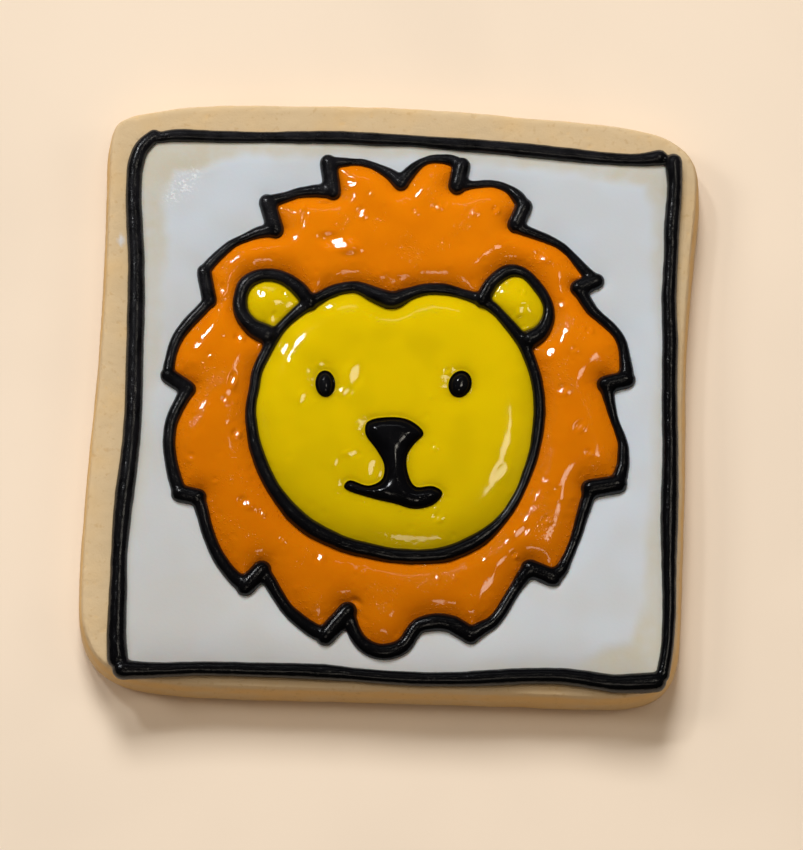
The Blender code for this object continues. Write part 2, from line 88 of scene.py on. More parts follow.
# Soft facets: x, y, light and size, and for some how much longer than wide they are, and which way
MANE_DABS = (
    (-9, 22.8, W, 1.35, 2.1, -15), (-29.6, 5.9, W, 0.75, 1.3, 60), (-23.1, 7.5, W, 0.8),
    (-7.8, 32.4, W, 0.8), (-5.8, 27.7, W, 0.8, 1.3, 80), (-4.7, 30.9, W, 0.5),
    (5.5, 29.2, W, 0.55, 1.5, 5), (6.8, 29.6, W, 0.5), (10.8, 28.7, W, 0.7, 1.3, 0),
    (2.2, 28.3, W, 0.6), (14.4, 29.2, W, 0.6), (21.7, 22.1, W, 0.7, 2, -25), (25, 15, W, 0.8),
    (29.2, 11, W, 0.6), (23.4, 7.1, W, 0.7, 1.3, 90), (25.5, 1.5, W, 0.9), (-23.7, 0.7, W, 0.6, 2, 85),
    (-29.4, -11.4, W, 0.7), (-22.7, -7.4, W, 0.7), (-20.7, -18.1, W, 0.8, 1.5, -35),
    (-18.3, -19.5, W, 0.6), (-9.4, -25.8, W, 0.9), (-3.6, -32.5, W, 0.7, 1.5, -50),
    (28.3, -4.1, W, 0.7, 1.5, 60), (29.9, -8, W, 0.6), (23.7, -12.5, W, 0.6), (22.1, -16.8, W, 0.7),
    (23.9, -18.6, W, 0.7), (8, -28, W, 0.6), (10.4, -27.9, W, 0.6), (-14.7, 27, L, 0.7, 2.6, 82),
    (-11.5, 29.4, L, 0.6, 2, 0), (20, -20.4, L, 0.8, 2, 45), (-26.2, 14.6, W, 0.6, 2, 85),
    (25.5, 10.8, W, 0.5), (27.1, 7.8, W, 0.5), (19.6, 15.2, W, 0.5, 1.6, -50), (-27.4, 4.4, W, 0.5),
    (-24.7, -2.4, W, 0.5, 1.4, 80), (-19.4, -10.6, W, 0.5, 1.4, 60), (-25.5, -14.8, W, 0.5),
    (-15, -23.4, W, 0.5), (19.4, -24.1, W, 0.5),
)  # fmt: skip
FACE_DABS = (
    (-16.4, 6.1, W, 0.9, 1.6, 58), (-10, 13.1, W, 0.9, 1.4, 75), (-5.7, 2.5, L, 1.4, 1.5, 78),
    (-6.8, -0.3, L, 0.7, 1.7, 35), (-10.6, 3.8, L, 0.5, 1.8, 10), (-13.2, -1.6, L, 0.7, 1.8, 80),
    (-7.7, -11.2, L, 0.6, 1.6, 55), (-2.5, -11.8, L, 0.8, 2, 88), (-5.4, -9.8, L, 0.6, 2.2, 5),
    (17.1, -11.4, L, 1, 1.8, 56), (6.7, -8.2, W, 0.6), (7.8, -19, W, 0.7), (7.4, -17.4, W, 0.5),
    (8.4, 3.6, W, 0.5),
)  # fmt: skip
EAR_DABS = (
    (-19.9, 14.6, W, 0.55), (-16.7, 14.8, W, 0.5), (-18.4, 10.8, L, 0.5, 2.2, 70),
    (16.5, 18.1, W, 0.55), (18.9, 16.6, W, 0.5), (18.8, 13.8, L, 0.5, 2.2, 60), (19.5, 11.2, W, 0.4),
)  # fmt: skip

# Biscuit: its outline at its widest, anticlockwise from the upper left corner
BISCUIT_OUTLINE = (
    (-44.2, 40.9), (-45, 38.2), (-45.1, 34.5), (-44.9, 30), (-44.7, 23.5), (-44.5, 14.5),
    (-44.5, 6.5), (-44.6, -1), (-44.9, -9.5), (-45.1, -18.5), (-45.2, -27), (-45, -33),
    (-44.5, -37.3), (-43.6, -40.1), (-42.2, -42.3), (-40.3, -44), (-37.6, -45.3), (-34.5, -45.9),
    (-28.5, -46.3), (-20, -46.4), (-10, -46.2), (0, -46), (10, -45.8), (21, -45.6),
    (31, -45.5), (36.5, -45.2), (39.7, -44.4), (41.9, -43), (43.5, -40.8), (44.4, -37.6),
    (44.6, -33), (44.6, -27), (44.6, -20), (44.6, -12.5), (44.4, -5), (44.2, 2.5), (44.2, 9),
    (44.4, 15.5), (44.7, 22), (45.1, 28), (45.3, 33), (45.1, 36.8), (44.2, 39.4), (42.5, 41.4),
    (40.2, 42.9), (36.8, 43.9), (31.5, 44.6), (26, 45), (17.5, 45.4), (8, 45.8), (-1, 46),
    (-10, 45.8), (-19, 45.5), (-28, 45.1), (-33, 44.6), (-37.5, 43.7), (-42.3, 42.4),
)  # fmt: skip
# Frame: four piped strokes
FRAME_STROKES = {
    "left": (
        (-37.9, 38.9, 1), (-39.6, 37, 1.15), (-40.4, 34.4, 1.2), (-40.5, 30.7, 1.15), (-40, 24.7, 1.22),
        (-39.5, 20.3, 1.2), (-39.1, 14, 1.28), (-38.8, 6.8, 1.27), (-38.6, 0.8, 1.27),
        (-38.4, -5.2, 1.3), (-38.5, -11.2, 1.32), (-38.9, -17.2, 1.4), (-39.1, -23.2, 1.25),
        (-39.1, -27.5, 1.2), (-38.9, -33, 1.32), (-38.8, -38, 1.4), (-38.4, -42.2, 1.5),
    ),
    "lower": (
        (-37.6, -43.9, 1.4), (-34.4, -43.8, 1.22), (-30.5, -43.5, 1.05), (-25, -43.1, 1.02),
        (-16.4, -42.9, 1.05), (-7.4, -42.8, 1.15), (-3.5, -43, 1), (4.6, -43.2, 1), (11, -43, 1.03),
        (16.6, -42.5, 1.15), (22, -42, 1.17), (27, -41.8, 1.2), (31, -42.1, 1.25), (34.5, -42.5, 1.3),
        (38, -42.3, 1.45), (41, -42, 1.4),
    ),
    "right": (
        (40.9, 38.3, 1.3), (41.2, 34.5, 1.1), (41, 28.9, 1.15), (41, 22.9, 1.05), (40.9, 16.9, 1.1),
        (41.3, 10.9, 1.15), (41.4, 4.9, 1.15), (41.6, -1.1, 1.15), (41.9, -7.1, 1.17),
        (42, -13.1, 1.27), (42.1, -19.1, 1.25), (42.3, -25.1, 1.07), (42.5, -31.1, 1),
        (42.4, -36.5, 0.9), (41.9, -40.9, 0.95),
    ),
    "upper": (
        (-37.4, 38.6, 0.85), (-34.5, 39.1, 0.97), (-28.7, 39.2, 0.92), (-21.5, 39.4, 0.82),
        (-15.5, 39.7, 0.92), (-9.5, 39.95, 0.98), (-4, 39.9, 1), (1.3, 39.9, 0.86), (7.3, 39.7, 1),
        (13.3, 39.5, 1.02), (19.3, 39.2, 1.07), (25.2, 38.8, 1.02), (31.2, 38.5, 0.95),
        (35.5, 38.5, 0.97), (38.8, 39, 1.2),
    ),
}  # fmt: skip

# Mane: its fifteen tufts, anticlockwise from the crown. Each belly runs from one end of the tuft to
# the other, and a short straight hook joins it to the next belly.
MANE_BELLIES = (
    ((-0.2, 33, 1.13), (-1.5, 34.2, 0.95), (-3, 35, 0.72), (-4.6, 35.7, 0.6), (-6.2, 36.1, 0.6),
     (-7.9, 36.1, 0.6), (-11.3, 35.8, 1.07)),
    ((-10.4, 31.2, 1.1), (-12.3, 31.3, 1.04), (-14, 31.1, 0.89), (-15.6, 30.8, 0.83),
     (-17.4, 30.1, 0.83), (-20.2, 29.1, 1.07)),
    ((-18.7, 24.8, 1.07), (-20.9, 24.4, 0.92), (-23.1, 23.4, 0.71), (-25.1, 22.3, 0.68),
     (-26.6, 20.9, 0.77), (-28, 19.3, 0.83), (-29.1, 17.8, 0.92)),
    ((-28, 13.2, 0.89), (-29.5, 11.3, 0.92), (-31.1, 9.4, 0.94), (-32.3, 7.5, 0.89), (-33, 5.6, 0.83),
     (-33.4, 3.5, 0.82), (-33.5, 1.3, 0.95)),
    ((-30.4, -0.6, 1.07), (-31.7, -3.3, 1.01), (-32.6, -6, 0.95), (-32.8, -8.7, 0.94),
     (-32.4, -11.4, 0.94), (-31.7, -14, 1), (-30.7, -16.8, 1.1)),
    ((-28, -17.2, 1.07), (-27.1, -19.7, 0.98), (-26.3, -22.2, 0.91), (-25.3, -24.5, 0.94),
     (-24, -26.7, 0.98), (-22.4, -28.7, 1.04), (-20.2, -30.5, 1.19)),
    ((-17.9, -27.8, 1.04), (-16.4, -29.9, 1.01), (-15.1, -31.9, 0.95), (-13.6, -33.8, 0.95),
     (-11.8, -35.3, 1.03), (-10, -36.5, 1.09), (-8, -37.4, 1.22)),
    ((-4.9, -33.5, 1.1), (-4.1, -35.8, 1.03), (-3.1, -37.6, 1.07), (-1.9, -38.7, 1.13),
     (-0.3, -39.3, 1.19), (1.3, -39.3, 1.24), (2.8, -38.8, 1.19), (3.9, -37.9, 1.16),
     (4.7, -36.5, 1.14), (5.6, -35.3, 1.18), (7.2, -34.7, 1.3), (8.8, -34.5, 1.33), (10.6, -34.7, 1.3)),
    ((13.4, -36.3, 1.25), (15.1, -35.1, 1.1), (16.5, -34.2, 0.98), (17.5, -32.9, 0.92),
     (18.3, -31.5, 0.92), (19, -30.2, 0.9), (19.8, -28.7, 0.95), (21.7, -25.7, 1.19)),
    ((25.2, -27, 1.25), (26.5, -25.5, 1), (27.1, -24.1, 0.82), (27.7, -22.6, 0.74), (28.2, -21.1, 0.77),
     (28.6, -19.6, 0.82), (29, -18, 0.87), (30.2, -13.2, 1.1)),
    ((34.2, -12.3, 1.22), (34.6, -10.8, 1.1), (34.9, -9.4, 0.95), (34.9, -7.8, 0.88),
     (34.8, -6.2, 0.76), (34.3, -4.6, 0.7), (33.7, -3.2, 0.62), (33.1, -1.6, 0.66), (31.9, 3, 1.07)),
    ((35, 3.9, 1.16), (34.9, 5.2, 1.08), (34.7, 6.8, 0.9), (34.4, 8.4, 0.78), (33.9, 10, 0.75),
     (33, 11.3, 0.75), (31.8, 12.4, 0.78), (30.5, 13.5, 0.8), (29.3, 14.6, 0.9), (27.2, 17.8, 1.04)),
    ((29.9, 19, 0.98), (28, 20.7, 0.83), (26.1, 22.8, 0.64), (24.5, 24.2, 0.62), (22.6, 25.2, 0.7),
     (20.6, 25.9, 0.77), (18.9, 26.5, 0.89), (17.4, 27.3, 1.1)),
    ((18.6, 30.2, 1.04), (17.5, 31.8, 0.98), (16, 33, 0.68), (14.2, 33.6, 0.6), (12.5, 33.6, 0.6),
     (10.4, 33.3, 0.68), (8.3, 33, 1.07)),
    ((8.9, 36.2, 1.09), (7.4, 37.05, 0.88), (5.8, 37.2, 0.75), (4.2, 37.1, 0.67), (2.7, 36.4, 0.68),
     (1.3, 35.1, 0.92), (-0.2, 33, 1.13)),
)  # fmt: skip
HOOK_BEADS = (
    1.3, 1.3, 1.1, 1.2, 1.3, 1.42, 1.45, 1.35, 1.35, 1.45, 1.35, 1.25, 1.3, 1.35, 1.13,
)

# Face, anticlockwise from the dip in the forehead
FACE_OUTLINE = (
    (-0.5, 14.6, 1.4), (-2.9, 15.2, 1.25), (-6.1, 16.4, 0.92), (-8.9, 15.9, 0.92), (-11.2, 14.7, 0.95),
    (-12.9, 13.6, 1), (-14.4, 12.4, 0.9), (-16.2, 10.6, 0.8), (-18, 8.2, 0.9), (-19.1, 5.6, 0.82),
    (-20.2, 2.8, 0.8), (-20.6, -0.2, 0.78), (-20.9, -3.1, 0.8), (-20.6, -6.1, 0.87), (-19.9, -9, 0.97),
    (-18.8, -11.8, 1.02), (-17.4, -14.5, 1.02), (-15.6, -17, 1.1), (-13.5, -19.3, 1.25),
    (-11.1, -21.1, 1.3), (-8.4, -22.4, 1.25), (-5.6, -23.5, 1.22), (-2.7, -24.1, 1.2),
    (0.2, -24.6, 1.14), (3.2, -24.8, 1.14), (6.1, -24.7, 1.12), (9.1, -24.2, 1.22), (11.9, -23, 1.2),
    (14.5, -21.4, 1.1), (16.7, -19.2, 0.82), (18.5, -16.7, 0.74), (19.8, -14, 0.68),
    (20.8, -11.1, 0.76), (21.6, -8.2, 0.78), (22, -5.2, 0.85), (22.2, -2.2, 0.9), (22, 0.7, 0.87),
    (21.4, 3.7, 0.87), (20.4, 6.5, 0.87), (19.1, 9.2, 0.95), (17.2, 11.5, 0.88), (15.1, 13.7, 0.8),
    (12.9, 15.2, 0.95), (9.9, 16.1, 0.78), (7.1, 16.7, 0.9), (4.1, 16.5, 0.88), (1.6, 15.6, 1.05),
)  # fmt: skip

# Ears: each black arc, from the top of the head down to the cheek
EAR_ARCS = {
    "left": (
        (-12.9, 13.6, 1.2), (-14.8, 15.8, 1.15), (-17.4, 17.4, 1.02), (-20.3, 17.6, 1.02),
        (-22.6, 16.3, 1.12), (-23.4, 13.9, 1.08), (-23.1, 11.6, 1.15), (-21.5, 9.5, 1.35),
        (-19.1, 8.3, 1.6),
    ),
    "right": (
        (12.9, 15.2, 1.2), (14.3, 18.1, 1), (16.6, 20, 1.02), (18.9, 19.8, 0.82), (21.1, 17.8, 0.8),
        (22.8, 15, 0.8), (22.9, 12.7, 0.98), (21.9, 10.6, 1.25), (20.2, 9.3, 1.5),
    ),
}  # fmt: skip

# Eyes: middle, half width, half height and turn in degrees
EYES = {"left": ((-9.95, 0.85), 1.45, 2.05, 6), "right": ((10.15, 1.75), 1.68, 2.1, -14)}

# Nose, stem and mouth in one piped shape, anticlockwise from the nose's upper left
NOSE_AND_MOUTH = (
    (-3.4, -4.7), (-3.6, -6.6), (-1.9, -8.9), (-0.6, -11.2), (-0.8, -13.4), (-2.8, -14.5), (-5.7, -13.8),
    (-6.4, -15), (-2.4, -16.4), (1.2, -17.1), (4.4, -17.8), (7.3, -16.8), (8.3, -15), (6.8, -14.1),
    (4.2, -14.3), (3, -12.2), (2.8, -9.6), (3.8, -7.8), (5.1, -6.1), (3, -4.2), (0, -3.8),
)  # fmt: skip


class Slot(Enum):
    """Names of the material slots."""

    DOUGH = "baked_dough"
    WHITE = "white_icing"
    BLACK = "black_icing"
    ORANGE = "orange_icing"
    YELLOW = "yellow_icing"


# ---------------------------------------- shader tools


class Value:
    """A shader value that takes arithmetic. An expression on it adds its Math nodes."""

    def __init__(self, bench: Bench, socket: bpy.types.NodeSocket) -> None:
        """Wraps an output of the bench's material."""
        self.bench, self.socket = bench, socket

    def _math(self, operation: str, *values: Value | float) -> Value:
        """The result of one Math node."""
        return self.bench.node("ShaderNodeMath", {"operation": operation}, dict(enumerate(values)))

    def __add__(self, other: Value | float) -> Value:
        """Self plus other."""
        return self._math("ADD", self, other)

    __radd__ = __add__

    def __sub__(self, other: Value | float) -> Value:
        """Self less other."""
        return self._math("SUBTRACT", self, other)

    def __rsub__(self, other: Value | float) -> Value:
        """Other less self."""
        return self._math("SUBTRACT", other, self)

    def __mul__(self, other: Value | float) -> Value:
        """Self times other."""
        return self._math("MULTIPLY", self, other)

    __rmul__ = __mul__

    def ramp(self, low: float, high: float) -> Value:
        """A smooth step from 0 at low to 1 at high."""
        inputs = {"Value": self, "From Min": low, "From Max": high}
        return self.bench.node("ShaderNodeMapRange", {"interpolation_type": "SMOOTHSTEP"}, inputs)


class Bench:
    """A material's node tree, and the few steps that the finishes build it from."""

    def __init__(self, name: str) -> None:
        """Starts an empty material.

        Args:
            name: the material's name.
        """
        self.material = bpy.data.materials.new(name)
        self.material.use_nodes = True
        self.tree = self.material.node_tree
        self.tree.nodes.clear()

    def node(
        self,
        kind: str,
        settings: dict[str, object] | None = None,
        inputs: dict[int | str, object] | None = None,
        output: int | str = 0,
    ) -> Value:
        """Adds a node.

        Args:
            kind: the node's type.
            settings: its properties, set first.
            inputs: plain values or links for its sockets, by name or place.
            output: which of its outputs to return.

        Returns:
            The output, or the first input where it has none.
        """
        made = self.tree.nodes.new(kind)
        for name, setting in (settings or {}).items():
            setattr(made, name, setting)
        for key, value in (inputs or {}).items():
            if isinstance(value, Value):
                self.tree.links.new(value.socket, made.inputs[key])
            else:
                made.inputs[key].default_value = value
        return Value(self, made.outputs[output] if len(made.outputs) else made.inputs[0])

    def place(self) -> Value:
        """The point on the piece, in mm."""
        inputs = {0: self.node("ShaderNodeTexCoord", output="Object"), "Scale": 1 / MM}
        return self.node("ShaderNodeVectorMath", {"operation": "SCALE"}, inputs)

    def mottle(self, size: float, detail: float = 2.0) -> Value:
        """Cloudy noise of about 0.3 to 0.7, from how wide its clouds are and how finely they split."""
        inputs = {"Vector": self.place(), "Scale": 1 / size, "Detail": detail}
        return self.node("ShaderNodeTexNoise", {}, inputs)

    def towards(self, way: Colour) -> Value:
        """How far the point lies in a direction, in mm."""
        inputs = {0: self.place(), 1: way}
        return self.node("ShaderNodeVectorMath", {"operation": "DOT_PRODUCT"}, inputs, "Value")

    def painted(self, name: str) -> Value:
        """A measure that the mesh carries for each point."""
        return self.node("ShaderNodeAttribute", {"attribute_name": name}, output="Fac")

    def blend(self, share: Value | float, first: Value | Colour, second: Value | Colour) -> Value:
        """A mix of two colours.

        Args:
            share: how much of the second.
            first: the first colour.
            second: the second colour.

        Returns:
            The mixed colour.
        """
        ends = [c if isinstance(c, Value) else (*c, 1.0) for c in (first, second)]
        settings = {"data_type": "RGBA", "clamp_factor": True}
        return self.node("ShaderNodeMix", settings, {0: share, 6: ends[0], 7: ends[1]}, output=2)

    def relief(self, height: Value, depth: float) -> Value:
        """The normal of a relief whose height runs from 0 to 1, and how deep that is in mm."""
        inputs = {"Strength": 1.0, "Distance": depth * MM, "Height": height}
        return self.node("ShaderNodeBump", {}, inputs)

    def finish(
        self, base: Value | Colour, roughness: Value | float, **rest: object
    ) -> bpy.types.Material:
        """Ends the material with its surface.

        Args:
            base: its colour.
            roughness: its roughness.
            rest: the shader's other sockets, by name with underscores.

        Returns:
            The material.
        """
        colour = base if isinstance(base, Value) else (*base, 1.0)
        inputs = {"Base Color": colour, "Roughness": roughness}
        inputs.update({name.replace("_", " "): value for name, value in rest.items()})
        surface = self.node("ShaderNodeBsdfPrincipled", {}, inputs)
        self.node("ShaderNodeOutputMaterial", {}, {"Surface": surface})
        return self.material


# ---------------------------------------- finishes


@dataclass(frozen=True)
class DoughFinish:
    """Baked sugar dough: pale on top, golden where it browned, with a dry fine crumb."""

    pale: Colour = (0.61, 0.465, 0.28)
    golden: Colour = (0.69, 0.445, 0.175)
    fleck_brown: Colour = (0.42, 0.24, 0.08)
    smear: Colour = (0.62, 0.65, 0.70)
    roughness: float = 0.8
    cloud: float = 7.0
    fleck: float = 0.9
    crumb: float = 0.35
    crumb_depth: float = 0.05

    def material(self) -> bpy.types.Material:
        """The dough's material."""
        bench = Bench("baked_crumb")
        browned = bench.painted("bake") + (bench.mottle(self.cloud) - 0.5) * 1.1
        colour = bench.blend(browned.ramp(0.0, 1.0), self.pale, self.golden)
        flecks = bench.mottle(self.fleck, 3.0).ramp(0.58, 0.75) * 0.3
        colour = bench.blend(flecks, colour, self.fleck_brown)
        colour = bench.blend(bench.painted("smear"), colour, self.smear)
        crumb = bench.mottle(self.crumb, 3.0) * 0.7 + bench.mottle(self.fleck, 2.0) * 0.3
        return bench.finish(colour, self.roughness, Normal=bench.relief(crumb, self.crumb_depth))


@dataclass(frozen=True)
class WhiteFinish:
    """White ground icing: satin, with a thin translucent edge where the dough shows through, and painted
    light: a cool sheen, shade low down and a glare of bright grains.
    """

    # the white is the icing under a painted cool sheen; towards the lower left it turns to the warmer
    # colour, painted shade
    white: Colour = (0.55, 0.61, 0.68)
    # painted shade: the ground darkens towards its bottom edge
    shade: Colour = (0.44, 0.445, 0.455)
    painted_shade_span: tuple[float, float] = (-43.0, -35.0)
    warm_tone_and_shade: Colour = (0.52, 0.53, 0.53)
    painted_sheen_span: tuple[float, float] = (-55.0, 22.0)
    thin: Colour = (0.51, 0.485, 0.40)
    # painted glare: the colour of the bright grains near the upper left corner
    painted_glare: Colour = (0.80, 0.82, 0.86)
    roughness: float = 0.33
    cloud: float = 9.0
    grain: float = 0.5
    grain_depth: float = 0.012

    def material(self) -> bpy.types.Material:
        """The white ground's material."""
        bench = Bench("satin_white_icing")
        tone_and_painted_shade = bench.mottle(self.cloud, 1.0).ramp(0.35, 0.65) * 0.35
        # painted light: a cool sheen towards the upper right, warmer shade towards the lower left; the
        # cloudy part is the icing's own tone
        tone_and_painted_shade = tone_and_painted_shade + (1 - bench.towards((0.6, 1.0, 0.0)).ramp(*self.painted_sheen_span)) * 0.75
        colour = bench.blend(tone_and_painted_shade, self.white, self.warm_tone_and_shade)
        # painted shade: darker towards the bottom edge of the ground
        above = bench.towards((0.0, 1.0, 0.0)).ramp(*self.painted_shade_span)
        colour = bench.blend(0.5 - above * 0.5, colour, self.shade)
        edge = bench.painted("thin") + (bench.mottle(2.2, 2.0) - 0.5) * bench.painted("thin")
        colour = bench.blend(edge, colour, self.thin)
        # painted glare: bright white grains near the upper left corner, also raised a little
        glare_speckle = bench.mottle(0.4, 3.0).ramp(0.48, 0.64) * bench.painted("painted_glare") * 0.8
        colour = bench.blend(glare_speckle, colour, self.painted_glare)
        rough = self.roughness + (bench.mottle(1.5, 2.0) - 0.5) * 0.12
        normal = bench.relief(bench.mottle(self.grain, 2.0) + glare_speckle * 3, self.grain_depth)
        return bench.finish(colour, rough, Normal=normal, Subsurface_Weight=0.15, Subsurface_Scale=MM)


@dataclass(frozen=True)
class BlackFinish:
    """Black piping icing: satin, with a fine sugary grain that breaks up its highlights, and a painted
    grey sheen towards the upper left.
    """

    name: str = "satin_black_icing"
    black: Colour = (0.0022, 0.0022, 0.0028)
    # painted sheen: the soft grey that the upper left beads show
    painted_sheen: Colour = (0.009, 0.009, 0.011)
    roughness: float = 0.19
    grain: float = 0.25
    grain_depth: float = 0.03
    shine: float = 0.38

    def material(self) -> bpy.types.Material:
        """The black icing's material."""
        bench = Bench(self.name)
        upper_left = bench.towards((-0.6, 1.0, 0.0)).ramp(-30.0, 45.0)
        # painted sheen: towards the upper left the black turns, in patches, to a soft grey sheen
        colour = bench.blend(bench.mottle(3.0).ramp(0.3, 0.65) * upper_left, self.black, self.painted_sheen)
        rough = self.roughness + (bench.mottle(0.8, 2.0) - 0.5) * 0.2 + upper_left * 0.05
        rough = rough + bench.painted("foot").ramp(0.1, 0.5) * 0.8
        normal = bench.relief(bench.mottle(self.grain, 2.0), self.grain_depth)
        return bench.finish(colour, rough, Normal=normal, Specular_IOR_Level=self.shine)


@dataclass(frozen=True)
class GlossFinish:
    """Glossy coloured flood icing, deeper in colour near the lines, and darker towards the bottom as
    painted shade.

    The tiny beads of its skin stand in loose groups, and give it its sparkles.
    """

    name: str
    bright: Colour
    deep: Colour
    # painted shade: the colour that the flood darkens to towards the bottom
    low: Colour
    painted_shade_low_span: tuple[float, float]
    roughness: float = 0.07
    cloud: float = 6.0
    grain: float = 0.45
    bead: float = 0.34
    bead_depth: float = 0.05
    group: float = 5.0

    def material(self) -> bpy.types.Material:
        """The coloured icing's material."""
        bench = Bench(self.name)
        # painted shade: from bright at the top to low at the bottom
        upper = bench.towards((0.0, 1.0, 0.0)).ramp(*self.painted_shade_low_span)
        share = bench.painted("edge") * 0.7 + bench.mottle(self.cloud, 1.0).ramp(0.35, 0.7) * 0.25
        colour = bench.blend(share, bench.blend(1 - upper, self.bright, self.low), self.deep)
        rough = self.roughness + (bench.mottle(2.0, 2.0) - 0.5) * 0.06
        groups = bench.mottle(self.group, 1.0).ramp(0.5, 0.62) * 0.5
        groups = groups + bench.painted("edge").ramp(0.02, 0.4) * 0.8
        beads = bench.mottle(self.bead, 1.0).ramp(0.56, 0.74) * groups
        normal = bench.relief(bench.mottle(self.grain, 1.0) * 0.12 + beads, self.bead_depth)
        return bench.finish(colour, rough, Normal=normal, Subsurface_Weight=0.1, Subsurface_Scale=MM)


@dataclass(frozen=True)
class TableFinish:
    """Plain pale table top."""

    cream: Colour = (0.86, 0.735, 0.595)
    roughness: float = 0.75

    def material(self) -> bpy.types.Material:
        """The table's material."""
        bench = Bench("pale_table")
        shade = tuple(c * 0.96 for c in self.cream)
        colour = bench.blend(bench.mottle(40.0, 2.0).ramp(0.35, 0.65), self.cream, shade)
        return bench.finish(colour, self.roughness)


# ---------------------------------------- lines and sheets


def spline(points: Route | Array, steps: int, closed: bool = False) -> Array:
    """A centripetal Catmull-Rom line.

    Args:
        points: the points that it passes through, each with two or three numbers.
        steps: how many parts each span is cut into.
        closed: whether it runs back to its start.

    Returns:
        The line's points.
    """
    points = np.asarray(points, float)
    if closed:
        padded = np.vstack((points[-1], points, points[:2]))
    else:
        padded = np.vstack((2 * points[0] - points[1], points, 2 * points[-1] - points[-2]))
    share = np.linspace(0, 1, steps, endpoint=False)[:, None]
    line = []
    for p in (padded[i : i + 4] for i in range(len(padded) - 3)):
        k = np.concatenate(([0.0], np.cumsum(np.sqrt(np.linalg.norm(np.diff(p, axis=0), axis=1)))))
        t = k[1] + (k[2] - k[1]) * share
        a = [p[j] + (p[j + 1] - p[j]) * (t - k[j]) / (k[j + 1] - k[j]) for j in range(3)]
        b = [a[j] + (a[j + 1] - a[j]) * (t - k[j]) / (k[j + 2] - k[j]) for j in range(2)]
        line.append(b[0] + (b[1] - b[0]) * (t - k[1]) / (k[2] - k[1]))
    return np.vstack(line if closed else (*line, points[-1:]))


def even(loop: Array, pitch: float) -> Array:
    """A closed loop's points moved to an even pitch.

    Args:
        loop: the loop.
        pitch: the spacing wanted.

    Returns:
        The new loop.
    """
    ring = np.vstack((loop, loop[:1]))
    passed = np.concatenate(([0.0], np.cumsum(np.linalg.norm(np.diff(ring[:, :2], axis=0), axis=1))))
    stops = np.linspace(0, passed[-1], max(8, round(passed[-1] / pitch)), endpoint=False)
    return np.stack([np.interp(stops, passed, ring[:, i]) for i in range(ring.shape[1])], axis=1)


def clearance(points: Array, loop: Array) -> Array:
    """How far points lie from the sides of a loop's bead.

    Args:
        points: the points, as x and y.
        loop: x, y and bead radius along the loop.

    Returns:
        The least distance for each point.
    """
    least = np.full(len(points), np.inf)
    for start in range(0, len(loop), 64):
        part = loop[start : start + 64]
        gaps = np.linalg.norm(points[:, None] - part[None, :, :2], axis=2) - part[:, 2]
        least = np.minimum(least, gaps.min(axis=1))
    return least


def uncrossed(loop: Array) -> Array:
    """A closed loop with the small places where it crosses itself cut away.

    Args:
        loop: its points, as x and y.

    Returns:
        The loop without them.
    """
    reach = 60
    for _ in range(2):
        loop = np.roll(loop, len(loop) // 2, axis=0)
        points, i = [Vector(p) for p in loop], 0
        while i + 1 < len(points):
            for j in range(min(i + reach, len(points) - 2), i + 1, -1):
                hit = geometry.intersect_line_line_2d(points[i], points[i + 1], points[j], points[j + 1])
                if hit is not None:
                    points[i + 1 : j + 1] = [hit]
                    break
            i += 1
        loop = np.array(points)
    return loop


def beside(loop: Array, side: int, gap: float) -> Array:
    """A loop moved off its own bead's side, with the places where it would cross itself dropped.

    Args:
        loop: x, y and bead radius, anticlockwise.
        side: 1 for outwards and -1 for inwards.
        gap: distance from the bead's side, below 0 for inside the bead.

    Returns:
        The moved loop's points, as x and y.
    """
    loop = even(loop, EDGE_PITCH)
    ahead = np.roll(loop[:, :2], -1, axis=0) - loop[:, :2]
    behind = loop[:, :2] - np.roll(loop[:, :2], 1, axis=0)
    moved = []
    for share in (0.0, 0.33, 0.67, 1.0):
        along = [d / np.linalg.norm(d, axis=1, keepdims=True) for d in (behind, ahead)]
        away = np.stack([np.array((d[:, 1], -d[:, 0])).T for d in along])
        away = away[0] * (1 - share) + away[1] * share
        away *= side / np.linalg.norm(away, axis=1, keepdims=True)
        moved.append(loop[:, :2] + away * (loop[:, 2:] + gap))
    moved = np.stack(moved, axis=1).reshape(-1, 2)
    return uncrossed(moved[clearance(moved, loop) > gap - 0.03])


def within(points: Array, loop: Array) -> Array:
    """Which points a loop encloses.

    Args:
        points: the points, as x and y.
        loop: the loop's points, as x and y.

    Returns:
        True for each point inside.
    """
    crossed = np.zeros(len(points), bool)
    for (ax, ay), (bx, by) in zip(loop, np.roll(loop, -1, axis=0)):
        if ay != by:
            spans = (ay > points[:, 1]) != (by > points[:, 1])
            crossed ^= spans & (points[:, 0] < ax + (bx - ax) * (points[:, 1] - ay) / (by - ay))
    return crossed


def waves(points: Array, length: float, seed: float) -> Array:
    """Smooth noise over points.

    Args:
        points: x and y, or x, y and z.
        length: how far it runs from crest to crest, roughly.
        seed: moves to another part of the noise.

    Returns:
        A value for each point, about -1 to 1.
    """
    points = points if points.shape[1] == 3 else with_column(points, 0.0)
    shift = Vector((seed * 7.31, seed * 3.77, seed * 5.13))
    return np.array([noise.noise(Vector(p) / length * 2 + shift) for p in points])


def mean_gaps(values: Array, links: Array) -> Array:
    """How far each point is from its neighbours' mean.

    Args:
        values: one or more numbers for each point.
        links: pairs of neighbouring points.

    Returns:
        The way to the mean, for each.
    """
    a, b = np.concatenate((links, links[:, ::-1])).T
    count = np.maximum(np.bincount(a, minlength=len(values)), 1)
    mean = [np.bincount(a, column[b], minlength=len(values)) / count for column in values.T]
    return np.stack(mean, axis=1) - values


